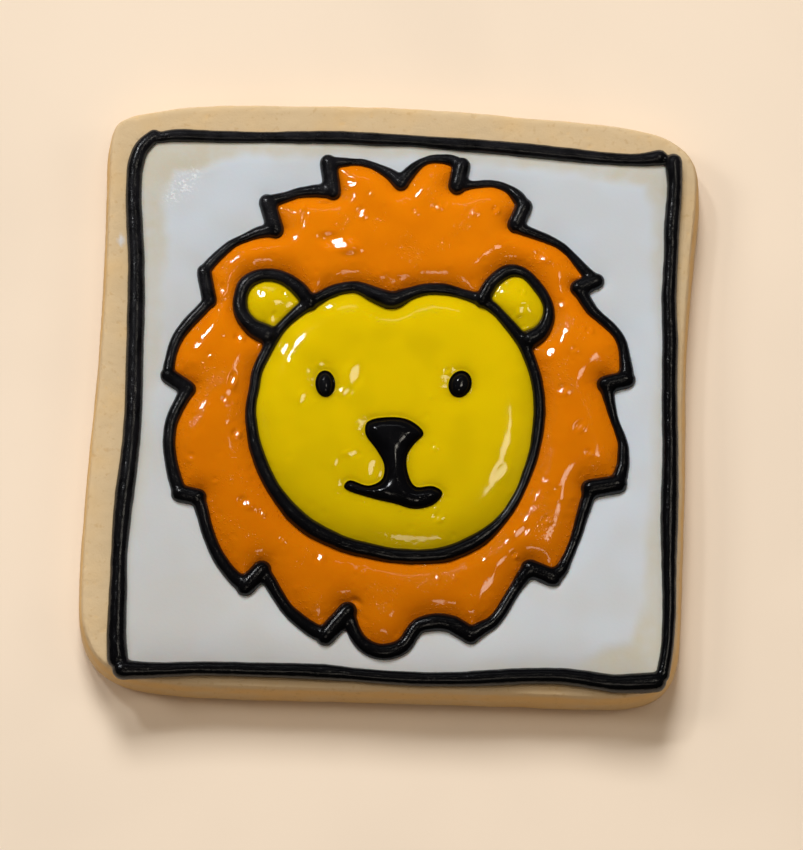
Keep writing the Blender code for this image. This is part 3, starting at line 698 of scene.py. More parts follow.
def relaxed(values: Array, links: Array, rounds: int, share: float, free: Array | float = 1.0) -> Array:
    """Values smoothed towards their neighbours' mean.

    Args:
        values: one or more numbers for each point.
        links: pairs of neighbouring points.
        rounds: how many times.
        share: how far they move each time.
        free: 0 for points that stay.

    Returns:
        The smoothed values.
    """
    values = np.array(values, float).reshape(len(values), -1)
    moved = np.broadcast_to(np.asarray(free, float), (len(values),))[:, None] * share
    for _ in range(rounds):
        values += mean_gaps(values, links) * moved
    return values


def with_column(points: Array, value: float) -> Array:
    """Points with one more number, the same for all."""
    return np.column_stack((points, np.full(len(points), value)))


def nearest(points: Array, targets: Array) -> Array:
    """The distance from each point to the nearest target.

    Args:
        points: the points, as x and y.
        targets: the targets, as x and y.

    Returns:
        The distances.
    """
    tree = kdtree.KDTree(len(targets))
    for i, target in enumerate(targets):
        tree.insert((*target, 0), i)
    tree.balance()
    return np.array([tree.find((*point, 0))[2] for point in points])


@dataclass
class Shell:
    """A mesh in mm, before it becomes a piece."""

    verts: Array
    faces: list[tuple[int, ...]] | Array
    measures: dict[str, Array] = field(default_factory=dict)

    def mesh(self, name: str, scale: float) -> bpy.types.Mesh:
        """Makes Blender's mesh.

        Args:
            name: its name.
            scale: factor on its size.

        Returns:
            The mesh, shaded smooth.
        """
        made = bpy.data.meshes.new(name)
        faces = self.faces.tolist() if isinstance(self.faces, np.ndarray) else self.faces
        made.from_pydata((self.verts * scale).tolist(), [], faces)
        made.shade_smooth()
        for measure, values in self.measures.items():
            data = made.attributes.new(measure, "FLOAT", "POINT").data
            data.foreach_set("value", values.astype(np.float32))
        return made

    def links(self) -> Array:
        """Pairs of neighbouring points."""
        mesh = self.mesh("links", 1.0)
        pairs = np.empty(len(mesh.edges) * 2, np.int32)
        mesh.edges.foreach_get("vertices", pairs)
        bpy.data.meshes.remove(mesh)
        return pairs.reshape(-1, 2)

    def normals(self) -> Array:
        """The outward direction at each point."""
        mesh = self.mesh("normals", 1.0)
        out = np.empty(len(mesh.vertices) * 3, np.float32)
        mesh.vertex_normals.foreach_get("vector", out)
        bpy.data.meshes.remove(mesh)
        return out.reshape(-1, 3)

    def webbed(self, rounds: int) -> None:
        """Fills the hollow creases, as soft icing does where strokes run together.

        Args:
            rounds: how far the filling goes.
        """
        links = self.links()
        for turn in range(rounds):
            if turn % 4 == 0:
                normals = self.normals()
            gaps = mean_gaps(self.verts, links)
            outwards = (gaps * normals).sum(axis=1, keepdims=True)
            self.verts += normals * np.clip(outwards, 0, None) * 0.95 + gaps * 0.04

    def fused(self, voxel: float) -> Shell:
        """One even skin round everything in the shell.

        Args:
            voxel: size of its faces.

        Returns:
            The new shell.
        """
        drawn = bpy.data.objects.new("raw", self.mesh("raw", 1.0))
        bpy.context.scene.collection.objects.link(drawn)
        remesh = drawn.modifiers.new("skin", "REMESH")
        remesh.mode = "VOXEL"
        remesh.voxel_size = voxel
        graph = bpy.context.evaluated_depsgraph_get()
        mesh = bpy.data.meshes.new_from_object(drawn.evaluated_get(graph))
        bpy.data.objects.remove(drawn)
        verts = np.empty(len(mesh.vertices) * 3)
        mesh.vertices.foreach_get("co", verts)
        faces = [tuple(face.vertices) for face in mesh.polygons]
        bpy.data.meshes.remove(mesh)
        return Shell(verts.reshape(-1, 3), faces)

    def piece(self, name: str, node: str, slot: Slot, material: bpy.types.Material) -> None:
        """Makes the piece that stands for a solid.

        Args:
            name: the piece's name.
            node: the solid that it replaces.
            slot: not used.
            material: its material.
        """
        mesh = self.mesh(name, MM)
        mesh.materials.append(material)
        made = bpy.data.objects.new(name, mesh)
        bpy.context.scene.collection.objects.link(made)
        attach(made, "root")
        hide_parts(node)
        log.info("%s: %d faces for %s", name, len(mesh.polygons), node)


def triangles(points: Array, edges: list[tuple[int, int]], holes: list[Array]) -> Array:
    """The triangles that fill an outline round its holes.

    Args:
        points: their corners, as x and y.
        edges: pairs of points that triangles don't cross, along the outline and the holes.
        holes: the holes' points, as x and y.

    Returns:
        The triangles.
    """
    _, _, faces, sources, *_ = geometry.delaunay_2d_cdt([Vector(p) for p in points], edges, [], 1, 1e-7)
    faces = np.array([source[0] for source in sources])[np.array(faces)]
    for hole in holes:
        faces = faces[~within(points[faces].mean(axis=1), hole)]
    return faces


def sheet(loops: list[Array], pitch: float) -> tuple[Array, Array, list[Array]]:
    """An even triangulated sheet inside the first loop and round the others.

    Args:
        loops: the outline and the holes, as x and y.
        pitch: spacing of its points.

    Returns:
        Its points, its triangles, and each loop's points by index.
    """
    loops = [even(loop, min(pitch, EDGE_PITCH)) for loop in loops]
    rim = np.vstack(loops)
    edges, rings, start = [], [], 0
    for loop in loops:
        ring = np.arange(start, start + len(loop))
        edges += list(zip(ring.tolist(), np.roll(ring, -1).tolist()))
        rings.append(ring)
        start += len(loop)
    low, high = rim.min(axis=0), rim.max(axis=0)
    rows = np.arange(low[1], high[1], pitch * 0.87)
    columns = np.arange(low[0], high[0], pitch)
    grid = np.array([(x + (r % 2) * pitch / 2, y) for r, y in enumerate(rows) for x in columns])
    keep = within(grid, loops[0])
    for hole in loops[1:]:
        keep &= ~within(grid, hole)
    grid = grid[keep]
    points = np.vstack((rim, grid[nearest(grid, rim) > pitch * 0.6]))
    return points, triangles(points, edges, loops[1:]), rings


def closed_sheet(loops: list[Array], pitch: float) -> tuple[Shell, int]:
    """A sheet with straight sides and a flat underside in the biscuit.

    Args:
        loops: the outline and the holes, as x and y.
        pitch: spacing of its points.

    Returns:
        The shell, flat on top at first, and how many of its points are the top's.
    """
    points, faces, rings = sheet(loops, pitch)
    top, rim = len(points), sum(len(ring) for ring in rings)
    lower = points[:rim]
    edges = [pair for ring in rings for pair in zip(ring.tolist(), np.roll(ring, -1).tolist())]
    under = triangles(lower, edges, [lower[ring] for ring in rings[1:]]) + top
    sides = [(top + a, top + b, b, a) for a, b in edges]
    verts = with_column(np.vstack((points, lower)), SUNK)
    return Shell(verts, faces.tolist() + under[:, ::-1].tolist() + sides), top


# ---------------------------------------- routes


def biscuit_outline() -> Array:
    """The dough's outline at its widest, anticlockwise, with its box centred on the origin."""
    outline = spline(BISCUIT_OUTLINE, 5, closed=True)
    return outline - (outline.min(axis=0) + outline.max(axis=0)) / 2


def ground_height(points: Array) -> Array:
    """How high the biscuit's top is under points. It falls away at the rounded edge."""
    outline = even(biscuit_outline(), 0.5)
    inset = clearance(points, with_column(outline, 0.0))
    inset[~within(points, outline)] *= -1
    insets, heights = zip(*CRISP_EDGE[3:])
    return np.interp(inset, insets, heights) - (BISCUIT_THICK - SUNK)


def frame_loop() -> Array:
    """The frame's middle line with its bead, anticlockwise."""
    left, lower, right, upper = (np.array(stroke) for stroke in FRAME_STROKES.values())
    return even(np.vstack((left, lower, right[::-1], upper[::-1])), 1.0)


def mane_strokes() -> list[Array]:
    """The mane's strokes, anticlockwise from the crown: a belly and then a hook for each tuft."""
    strokes = []
    for i, (belly, bead) in enumerate(zip(MANE_BELLIES, HOOK_BEADS)):
        tip, notch = np.array(belly[-1]), np.array(MANE_BELLIES[(i + 1) % len(MANE_BELLIES)][0])
        strokes.append(spline(belly, 3))
        if np.linalg.norm(notch - tip) > bead:
            strokes.append(np.array([(*end[:2], bead) for end in (tip, notch)]))
    return strokes


def mane_loop() -> Array:
    """The mane's middle line, with a hook's bead rather than a belly's where they meet."""
    loop, strokes = [], mane_strokes()
    for stroke, following in zip(strokes, strokes[1:] + strokes[:1]):
        is_hook, meets_hook = len(stroke) == 2, len(following) == 2
        loop.append(stroke if is_hook else stroke[1 : -1 if meets_hook else None])
    return np.vstack(loop)


def face_loop() -> Array:
    """The face's middle line with its bead, anticlockwise."""
    return spline(FACE_OUTLINE, 3, closed=True)


def ear_stroke(side: str) -> Array:
    """An ear's arc with its bead, from the top of the head down."""
    return spline(EAR_ARCS[side], 4)


def ear_roots(side: str) -> list[int]:
    """The places on the face's loop where an ear's arc starts and ends, upper one first."""
    face, arc = face_loop(), ear_stroke(side)
    return [int(np.argmin(np.linalg.norm(face[:, :2] - end[:2], axis=1))) for end in (arc[0], arc[-1])]


def head_loop() -> Array:
    """The face's outline with its bead, anticlockwise, going round the ears."""
    face, left, right = face_loop(), ear_stroke("left"), ear_stroke("right")
    (upper_left, lower_left), (upper_right, lower_right) = ear_roots("left"), ear_roots("right")
    cheeks = face[lower_left : lower_right + 1]
    return np.vstack((face[: upper_left + 1], left[1:-1], cheeks, right[-2:0:-1], face[upper_right:]))


def ear_loop(side: str) -> Array:
    """The outline of the ground inside an ear with its bead, anticlockwise."""
    face, arc = face_loop(), ear_stroke(side)
    upper, lower = ear_roots(side)
    if side == "left":
        return np.vstack((arc[1:-1], face[upper : lower + 1][::-1]))
    return np.vstack((arc[1:-1][::-1], face[lower : upper + 1][::-1]))


def ellipse(middle: tuple[float, float], half_width: float, half_height: float, turn: float) -> Array:
    """An ellipse's loop.

    Args:
        middle: its middle.
        half_width: half its width.
        half_height: half its height.
        turn: how far it is turned anticlockwise, in degrees.

    Returns:
        Its points, as x, y and the eye's bead.
    """
    angle = np.linspace(0, math.tau, 48, endpoint=False)
    x, y, turn = half_width * np.cos(angle), half_height * np.sin(angle), math.radians(turn)
    across, up = x * math.cos(turn) - y * math.sin(turn), x * math.sin(turn) + y * math.cos(turn)
    return with_column(np.column_stack((middle[0] + across, middle[1] + up)), EYE_BEAD)


def nose_loop() -> Array:
    """The outline of the nose, stem and mouth, with its bead."""
    return with_column(spline(NOSE_AND_MOUTH, 4, closed=True), NOSE_BEAD)


# ---------------------------------------- pieces


@dataclass
class Biscuit:
    """The baked dough slab: a rounded square with a soft upper edge, fine relief and small pits."""

    edge: Route = CRISP_EDGE
    pitch: float = 0.42
    under: float = 2.2
    margin: float = 9.0
    swell: float = 0.11
    relief: float = 0.05
    crumb: float = 0.02
    pit: float = 0.12
    smear: tuple[float, float] = (-41.9, 22.4)
    finish: DoughFinish = DoughFinish()

    def profile(self) -> Array:
        """Inset from the outline and height, from the underside round the edge and over the margin."""
        side = spline(self.edge, 5)
        margin = np.arange(self.edge[-1][0] + 0.4, self.margin, self.pitch)
        return np.vstack((((self.under, 0.0),), side, with_column(margin, BISCUIT_THICK)))

    def build(self) -> Shell:
        """The slab's shell, with its measures of browning and of the smear of icing on its margin."""
        outline, profile = even(biscuit_outline(), self.pitch), self.profile()
        count = len(outline)
        along = np.roll(outline, -1, axis=0) - np.roll(outline, 1, axis=0)
        along /= np.linalg.norm(along, axis=1, keepdims=True)
        inwards = np.column_stack((-along[:, 1], along[:, 0]))
        index = np.arange(count)
        ahead = np.roll(index, -1)
        inwards = relaxed(inwards, np.column_stack((index, ahead)), 20, 0.5)
        verts = np.vstack([with_column(outline + inwards * inset, z) for inset, z in profile])
        faces = []
        for low in range(0, len(verts) - count, count):
            quads = (low + index, low + ahead, low + count + ahead, low + count + index)
            faces += np.stack(quads, axis=1).tolist()
        faces += [index[::-1].tolist(), (index + len(verts) - count).tolist()]
        shell = Shell(verts, faces)
        normals = shell.normals()
        flat = verts * (1, 1, 3.0)
        rise = waves(verts, 9.0, 1) * self.swell
        rise = rise + waves(flat, 2.0, 2) * self.relief + waves(verts, 0.9, 3) * self.crumb
        pits = np.clip((waves(verts, 1.3, 4) - 0.42) / 0.2, 0, 1)
        rise -= pits * self.pit
        loose = np.clip(verts[:, 2] / 0.8, 0, 1)
        shell.verts = verts + normals * (rise * loose)[:, None]
        height = verts[:, 2] / BISCUIT_THICK
        wall = np.clip((0.93 - height) / 0.08, 0, 1)
        browned = np.clip(1 - np.abs(height - 0.74) / 0.22, 0, 1) * (1 + waves(flat, 6.0, 7))
        foot = np.clip(1 - height / 0.12, 0, 1)
        # bake: golden browning on the wall and the underside, and darker in the pits
        shell.measures["bake"] = 0.15 + wall * 0.4 + browned * 0.35 + foot * 0.3 + pits * 0.2
        gap = (verts[:, :2] - np.array(self.smear)) / (0.45, 1.0)
        gap += np.column_stack((waves(verts, 1.5, 5), waves(verts, 1.5, 6))) * 0.3
        smeared = np.clip(1.3 - np.linalg.norm(gap, axis=1), 0, 0.8)
        shell.measures["smear"] = smeared * (verts[:, 2] > 6.0)
        return shell

    def dress(self) -> None:
        """Adds the slab."""
        self.build().piece("baked_slab", "biscuit", Slot.DOUGH, self.finish.material())


@dataclass
class Piping:
    """Black icing piped along strokes: round beads that run into each other."""

    name: str
    node: str
    strokes: list[Array]
    material: bpy.types.Material
    loops: tuple[int, ...] = ()
    sides: int = 20
    ends: tuple[float, ...] = (30, 60, 84)
    voxel: float = 0.17
    webs: int = 40
    fuller: float = 0.08
    wobble: float = 0.06
    grain: float = 0.015
    sag: float = 0.5
    seed: float = 11.0
    lifts: dict[int, float] = field(default_factory=dict)

    def tube(self, route: Array, closed: bool, lift: float) -> Shell:
        """A round bead along a route, with rounded ends.

        Args:
            route: x, y and bead radius.
            closed: whether it runs back to its start.
            lift: how much higher it lies at its start than the others.

        Returns:
            Its shell.
        """
        route = np.asarray(route, float) + (0, 0, self.fuller)
        if closed:
            along = np.roll(route, -1, axis=0)[:, :2] - np.roll(route, 1, axis=0)[:, :2]
        else:
            along = np.gradient(route[:, :2], axis=0)
        along /= np.linalg.norm(along, axis=1, keepdims=True)
        fade = np.linspace(1, 0, len(route)) ** 4 * lift
        rows = [(p, d, p[2], f) for p, d, f in zip(route, along, fade)]
        if not closed:
            for angle in self.ends:
                reach, share = math.sin(math.radians(angle)), math.cos(math.radians(angle))
                for end, sign in ((0, -1), (-1, 1)):
                    p, d = route[end], along[end]
                    tip = np.array((*(p[:2] + d * sign * reach * p[2]), p[2]))
                    rows.insert(0 if end == 0 else len(rows), (tip, d, p[2] * share, fade[end]))
        turns = np.linspace(0, math.tau, self.sides, endpoint=False)
        rings = []
        for p, d, radius, raised in rows:
            across = np.cos(turns)[:, None] * np.array((d[1], -d[0])) * radius + p[:2]
            rings.append(np.column_stack((across, BEAD_AXIS + raised + np.sin(turns) * radius)))
        verts = np.vstack(rings)
        verts[:, 2] = np.maximum(verts[:, 2], SUNK)
        faces, n, total = [], self.sides, len(rings)
        for i in range(total if closed else total - 1):
            a, b = i * n, (i + 1) % total * n
            faces += [(a + j, b + j, b + (j + 1) % n, a + (j + 1) % n) for j in range(n)]
        if not closed:
            faces += [tuple(range(n)), tuple(range((total - 1) * n, total * n))[::-1]]
        return Shell(verts, faces)

    def build(self) -> Shell:
        """The beads fused into one shell, with a piped wobble and grain."""
        verts, faces, start = [], [], 0
        for i, stroke in enumerate(self.strokes):
            tube = self.tube(stroke, i in self.loops, self.lifts.get(i, 0.0))
            verts.append(tube.verts)
            faces += [tuple(v + start for v in face) for face in tube.faces]
            start += len(tube.verts)
        shell = Shell(np.vstack(verts), faces).fused(self.voxel)
        shell.verts = relaxed(shell.verts, shell.links(), 2, 0.5)
        shell.webbed(self.webs)
        normals = shell.normals()
        rise = waves(shell.verts, 4.0, self.seed) * self.wobble
        rise = rise + waves(shell.verts, 0.9, self.seed + 1) * self.grain
        shell.verts += normals * rise[:, None]
        drop = np.clip(SUNK - ground_height(shell.verts[:, :2]), 0, self.sag)
        foot = np.clip((BEAD_AXIS - shell.verts[:, 2]) / (BEAD_AXIS - SUNK), 0, 1)
        shell.verts[:, 2] -= foot * drop
        shell.measures["foot"] = foot
        return shell

    def dress(self) -> None:
        """Adds the piping."""
        self.build().piece(self.name, self.node, Slot.BLACK, self.material)


@dataclass
class Flood:
    """Icing flooded between piped lines: it rises over a shoulder from its rim to a soft plateau."""

    name: str
    node: str
    slot: Slot
    loops: list[Array]
    material: bpy.types.Material
    rim: float
    middle: float
    shoulder: float
    pitch: float = 0.26
    curve: float = 2.2
    lumps: float = 0.1
    lump_length: float = 8.0
    ripples: float = 0.04
    ripple_length: float = 3.2
    edge_lumps: float = 0.05
    edge_length: float = 1.2
    held: float = 0.25
    eased: float = 0.6
    fringe: float = 0.55
    dimples: int = 0
    dimple_sizes: tuple[float, float] = (0.3, 0.55)
    dimple_lifts: tuple[float, float] = (-0.07, 0.06)
    dabs: tuple[tuple[float | Glint, ...], ...] = ()
    rounds: int = 60
    highest: float = 2.2
    calm: float = 0.85
    core: float = 0.4
    inner_rim: float | None = None
    inner_shoulder: float | None = None
    seed: float = 31.0

    def rise(self, depth: Array, rim: float, shoulder: float) -> Array:
        """The height over a shoulder, from how far in points lie, from its rim to the middle's."""
        t = np.clip(depth / shoulder, 0, 1)
        return rim + (self.middle - rim) * (1 - (1 - t) ** self.curve)

    def dabbed(self, points: Array, height: Array) -> Array:
        """The skin with its soft facets, each tilted so that it catches its light.

        Args:
            points: x and y.
            height: the skin's heights.

        Returns:
            The new heights.
        """
        for x, y, light, size, *shape in self.dabs:
            (facing, slope), (stretch, axis) = light.value, shape or (1, 0)
            gap, turn = points - (x, y), math.radians(axis)
            along = gap @ (math.cos(turn), math.sin(turn)) / (size * stretch)
            across = gap @ (-math.sin(turn), math.cos(turn)) / size
            reach = along**2 + across**2
            near = reach < self.core
            if near.sum() < 4:
                continue  # the facet is on another flood
            flat = np.column_stack((gap[near], np.ones(near.sum())))
            *tilt, level = np.linalg.lstsq(flat, height[near], rcond=None)[0]
            wanted = np.array((math.cos(math.radians(facing)), math.sin(math.radians(facing)))) * -slope
            calm = height * (1 - self.calm) + (gap @ tilt + level) * self.calm
            height = height + (calm + gap @ (wanted - tilt) - height) * np.exp(-(reach**2))
        return np.minimum(height, self.highest)

    def pocks(self, points: Array, depth: Array) -> Array:
        """Small dimples and pimples in loose groups, most of them near the flood's edge.

        Args:
            points: x and y.
            depth: how far in each lies.

        Returns:
            The height that they add.
        """
        rng = np.random.default_rng(int(self.seed))
        likely = np.exp(-np.abs(depth - 0.9) / 0.9) + 0.04
        likely *= np.clip(waves(points, 14.0, self.seed + 5) + 0.35, 0.03, 1)
        likely[depth < 0.2] = 0
        for x, y, _, size, *_ in self.dabs:
            likely[np.linalg.norm(points - (x, y), axis=1) < size * 2.2] *= 0.1
        spots = rng.choice(len(points), self.dimples, p=likely / likely.sum()) if self.dimples else []
        rise = np.zeros(len(points))
        for spot in spots:
            size, lift = rng.uniform(*self.dimple_sizes), rng.uniform(*self.dimple_lifts)
            gap = np.linalg.norm(points - points[spot], axis=1) / size
            rise += lift * np.exp(-(gap**2))
        return rise

    def build(self) -> Shell:
        """The flood's shell, with its measure of nearness to the edge."""
        shell, top = closed_sheet(self.loops, self.pitch)
        flat = shell.verts[:top, :2]
        outer, *inner = (nearest(flat, even(loop, 0.1)) - BURIED for loop in self.loops)
        depth = np.min([outer, *inner], axis=0)
        height = self.rise(outer, self.rim, self.shoulder)
        for hole in inner:
            rim, shoulder = self.inner_rim or self.rim, self.inner_shoulder or self.shoulder
            height = np.minimum(height, self.rise(hole, rim, shoulder))
        links = shell.links()
        links = links[(links < top).all(axis=1)]
        free = np.clip((depth - self.held) / self.eased, 0, 1)
        height = relaxed(height, links, self.rounds, 0.6, free)[:, 0]
        loose, near = np.clip(depth, 0, 1), np.exp(-np.clip(depth, 0, 9))
        height += waves(flat, self.lump_length, self.seed) * self.lumps * loose
        height += waves(flat, self.ripple_length, self.seed + 1) * self.ripples * loose
        height += waves(flat, self.edge_length, self.seed + 2) * self.edge_lumps * near
        height = self.dabbed(flat, height + self.pocks(flat, depth))
        shell.verts[:top, 2] = ICING_BASE + height
        shell.measures["edge"] = np.ones(len(shell.verts))
        shell.measures["edge"][:top] = np.exp(-np.clip(depth, 0, 9) / self.fringe)
        return shell

    def dress(self) -> None:
        """Adds the flood."""
        self.build().piece(self.name, self.node, self.slot, self.material)


@dataclass
class WhiteGround(Flood):
    """The white ground. It is thin, and lets the dough show, in a band along parts of the frame."""

    bands: Route = ()
    fade: float = 2.2
    drop: float = 0.08
    lip: float = 0.015
    # places of the painted glare: x, y and size
    painted_glare: Route = ((-32.9, 31.2, 1.5), (-34.6, 29.2, 1.0), (-31.6, 32.9, 0.9))

    def build(self) -> Shell:
        """The ground's shell, with its measures of thinness and of the painted glare."""
        shell = super().build()
        flat = shell.verts[:, :2]
        depth = clearance(flat, even(frame_loop(), 0.4))
        anchors = np.array(self.bands)
        pull = 1 / (np.linalg.norm(flat[:, None] - anchors[None, :, :2], axis=2) ** 4 + 1)
        width = (pull * anchors[:, 2]).sum(axis=1) / pull.sum(axis=1)
        width += waves(flat, 5.0, self.seed + 40) * 0.5
        strength = (pull * anchors[:, 3]).sum(axis=1) / pull.sum(axis=1)
        share = np.clip((width + self.fade / 2 - depth) / self.fade, 0, 1)
        share = share * share * (3 - 2 * share)
        shell.measures["thin"] = share * strength
        top = shell.verts[:, 2] > ICING_BASE
        lip = np.exp(-(((depth - width - self.fade / 2) / 0.5) ** 2)) * self.lip
        shell.verts[:, 2] += (lip - share * self.drop) * strength * top
        # painted glare: where the bright grains are painted
        reaches = [np.linalg.norm(flat - (x, y), axis=1) / size for x, y, size in self.painted_glare]
        shell.measures["painted_glare"] = np.exp(-(np.min(reaches, axis=0) ** 2))
        return shell


@dataclass
class Feature:
    """A raised black eye, or the nose with the mouth: a rounded drop of piped icing."""

    name: str
    node: str
    outline: Array
    material: bpy.types.Material
    rim: float
    middle: float
    shoulder: float
    voxel: float = 0.1
    wobble: float = 0.04
    seed: float = 51.0

    def build(self) -> Shell:
        """The drop's shell."""
        shell, top = closed_sheet([beside(self.outline, 1, 0.0)], 0.2)
        flat = shell.verts[:top, :2]
        t = np.clip(nearest(flat, even(self.outline[:, :2], 0.05)) / self.shoulder, 0, 1)
        swell = (self.middle - self.rim) * np.sqrt(1 - (1 - t) ** 2)
        shell.verts[:top, 2] = ICING_BASE + self.rim + swell
        shell = shell.fused(self.voxel)
        shell.verts = relaxed(shell.verts, shell.links(), 10, 0.5)
        shell.verts += shell.normals() * waves(shell.verts, 2.5, self.seed)[:, None] * self.wobble
        return shell

    def dress(self) -> None:
        """Adds the feature."""
        self.build().piece(self.name, self.node, Slot.BLACK, self.material)


# ---------------------------------------- studio


def direction(turn: float, rise: float) -> Vector:
    """A way from the biscuit, in degrees anticlockwise from +X and above the table."""
    turn, rise = math.radians(turn), math.radians(rise)
    return Vector((math.cos(turn) * math.cos(rise), math.sin(turn) * math.cos(rise), math.sin(rise)))


@dataclass(frozen=True)
class Softbox:
    """A soft studio light, aimed at the biscuit."""

    name: str
    turn: float
    rise: float
    distance: float
    width: float
    height: float
    power: float
    colour: Colour
    mirrored: bool = True

    def add(self) -> None:
        """Adds the light. Its sizes and its distance are in metres."""
        away = direction(self.turn, self.rise)
        data = bpy.data.lights.new(self.name, "AREA")
        data.shape = "RECTANGLE"
        data.size, data.size_y = self.width, self.height
        data.energy = self.power
        data.color = self.colour
        light = bpy.data.objects.new(self.name, data)
        light.location = away * self.distance
        light.rotation_euler = away.to_track_quat("Z", "Y").to_euler()
        light.visible_glossy = self.mirrored
        bpy.context.scene.collection.objects.link(light)


@dataclass
class Studio:
    """A pale table, soft lights and the photograph's camera."""

    image: tuple[int, int] = (803, 850)
    turn: float = 2.7
    rise: float = 75.0
    distance: float = 700.0
    pixels_per_mm: float = 6.7
    aim: tuple[float, float, float] = (0.0, -1.9, 8.0)
    aim_pixel: tuple[float, float] = (391.0, 406.0)
    reach: float = 3.0
    sky: Colour = (1.0, 0.76, 0.54)
    sky_strength: float = 0.17
    softboxes: tuple[Softbox, ...] = (
        Softbox("back_soft", 97.0, 44.0, 2.2, 0.7, 0.7, 36.8, (1.0, 1.0, 1.0), False),
        Softbox("left_soft", 166.0, 42.0, 1.6, 0.4, 0.4, 4.6, (1.0, 0.96, 0.9), False),
        Softbox("right_soft", 8.0, 40.0, 1.6, 0.5, 0.5, 1.9, (1.0, 0.88, 0.74), False),
        Softbox("window", 128.0, 50.0, 1.2, 0.12, 0.12, 2.3, (0.97, 0.985, 1.0)),
        Softbox("sheen", 95.0, 42.0, 1.6, 0.6, 0.07, 0.2, (0.95, 0.975, 1.0)),
        Softbox("right_lamp", 29.5, 71.7, 1.2, 0.2, 0.2, 0.8, (1.0, 0.93, 0.8)),
        Softbox("front_lamp", -86.0, 64.0, 1.2, 0.3, 0.12, 0.45, (1.0, 0.9, 0.76)),
    )
    finish: TableFinish = TableFinish()

    def table(self) -> None:
        """Adds the table top."""
        corners = [(x * self.reach, y * self.reach, 0) for x, y in ((-1, -1), (1, -1), (1, 1), (-1, 1))]
        mesh = bpy.data.meshes.new("table_top")
        mesh.from_pydata(corners, [], [(0, 1, 2, 3)])
        mesh.materials.append(self.finish.material())
        top = bpy.data.objects.new("table_top", mesh)
        bpy.context.scene.collection.objects.link(top)

    def lights(self) -> None:
        """Adds the sky and the softboxes."""
        world = bpy.data.worlds.new("soft_sky")
        world.use_nodes = True
        background = world.node_tree.nodes["Background"]
        background.inputs["Color"].default_value = (*self.sky, 1.0)
        background.inputs["Strength"].default_value = self.sky_strength
        world.cycles_visibility.glossy = False
        bpy.context.scene.world = world
        for softbox in self.softboxes:
            softbox.add()

    def camera(self) -> None:
        """Adds the camera, so that the aim falls on its pixel of the photograph."""
        back = direction(self.turn - 90, self.rise)
        right = Vector((0, 0, 1)).cross(back).normalized()
        up = back.cross(right)
        across = (self.aim_pixel[0] - self.image[0] / 2) / self.pixels_per_mm
        down = (self.aim_pixel[1] - self.image[1] / 2) / self.pixels_per_mm
        data = bpy.data.cameras.new("photograph")
        data.sensor_width = 36.0
        data.lens = self.pixels_per_mm * self.distance * data.sensor_width / max(self.image)
        data.clip_start, data.clip_end = 0.01, 20.0
        camera = bpy.data.objects.new("photograph", data)
        place = Vector(self.aim) + back * self.distance - right * across + up * down
        turned = Matrix((right, up, back)).transposed().to_4x4()
        camera.matrix_world = Matrix.Translation(place * MM) @ turned
        bpy.context.scene.collection.objects.link(camera)
        bpy.context.scene.camera = camera

    def dress(self) -> None:
        """Adds everything round the biscuit."""
        self.table()
        self.lights()
        self.camera()
        bpy.context.scene.view_settings.view_transform = "Standard"


# ---------------------------------------- main


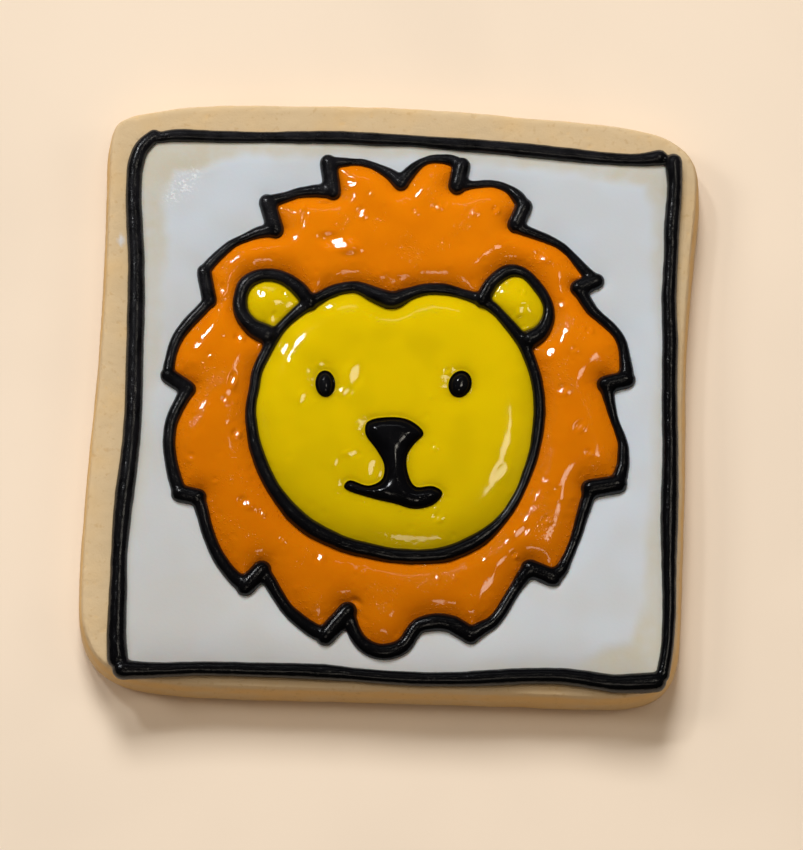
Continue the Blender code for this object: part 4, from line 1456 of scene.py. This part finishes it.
def pieces() -> list[Biscuit | Piping | Flood | Feature]:
    """Every piece of the biscuit, from the dough up."""
    black = BlackFinish().material()
    wet = BlackFinish("glossy_black_icing", roughness=0.13, grain_depth=0.008, shine=0.5)
    wet_black = wet.material()
    white = WhiteFinish().material()
    # the low colours are painted shade towards the bottom of each flood
    orange = GlossFinish(
        "glossy_orange_icing", bright=(0.76, 0.209, 0.0015), deep=(0.56, 0.135, 0.001),
        low=(0.525, 0.142, 0.001), painted_shade_low_span=(-42.0, 36.0),
    ).material()  # fmt: skip
    yellow = GlossFinish(
        "glossy_yellow_icing", bright=(0.69, 0.495, 0.001), deep=(0.46, 0.33, 0.001),
        low=(0.54, 0.38, 0.001), painted_shade_low_span=(-27.0, 2.0), group=3.5, bead_depth=0.006,
    ).material()  # fmt: skip

    nose = nose_loop()
    eyes = {side: ellipse(*size) for side, size in EYES.items()}
    holes = [beside(loop, 1, -BURIED * 0.6) for loop in (nose, *eyes.values())]
    head, mane = head_loop(), mane_loop()
    strokes = [spline(stroke, 3) for stroke in FRAME_STROKES.values()]
    made: list[Biscuit | Piping | Flood | Feature] = [
        Biscuit(),
        Piping("piped_frame", "frame_piping", strokes, black, lifts={1: 0.25, 2: 0.4}),
        Piping("piped_mane", "mane_piping", mane_strokes(), black, seed=14),
        Piping(
            "piped_head", "head_piping", [face_loop(), ear_stroke("left"), ear_stroke("right")], black,
            loops=(0,), seed=17, lifts={1: 0.15, 2: 0.15},
        ),
        WhiteGround(
            "flooded_ground", "white_icing", Slot.WHITE,
            [beside(frame_loop(), -1, -BURIED), beside(mane, 1, -BURIED)],
            white, rim=0.45, middle=0.85, shoulder=3.0, pitch=0.45,
            lumps=0.03, ripples=0.0, edge_lumps=0.0, bands=THIN_BANDS,
        ),
        Flood(
            "flooded_mane", "mane_icing", Slot.ORANGE,
            [beside(mane, -1, -BURIED), beside(head, 1, -BURIED)],
            orange, rim=0.5, middle=1.75, shoulder=3.4, pitch=0.22,
            seed=33, lumps=0.1, ripples=0.03, dimples=380, dabs=MANE_DABS,
        ),
        Flood(
            "flooded_face", "face_icing", Slot.YELLOW,
            [beside(face_loop(), -1, -BURIED), *holes],
            yellow, rim=0.45, middle=1.8, shoulder=3.9, rounds=120, inner_rim=1.55, inner_shoulder=1.6,
            seed=37, lumps=0.04, ripples=0.01, dimples=40, dabs=FACE_DABS,
        ),
    ]  # fmt: skip
    for side, eye in eyes.items():
        made.append(
            Flood(
                f"flooded_ear_{side}", f"ear_icing_{side}", Slot.YELLOW,
                [beside(ear_loop(side), -1, -BURIED)],
                yellow, rim=0.45, middle=1.7, shoulder=2.6, pitch=0.2, rounds=240, seed=41,
                dabs=EAR_DABS,
            )  # fmt: skip
        )
        names = f"piped_eye_{side}", f"eye_{side}"
        made.append(Feature(*names, eye, wet_black, rim=0.5, middle=2.1, shoulder=1.7))
    names = "piped_nose_and_mouth", "nose_mouth"
    made.append(Feature(*names, nose, wet_black, rim=0.5, middle=2.2, shoulder=2.4))
    return made


def main() -> None:
    """Builds the pieces in order, then the studio; each piece logs its face count."""
    logging.basicConfig(level=logging.INFO, format="%(name)s %(message)s")
    for piece in pieces():
        piece.dress()
    Studio().dress()


if __name__ == "__main__":
    main()
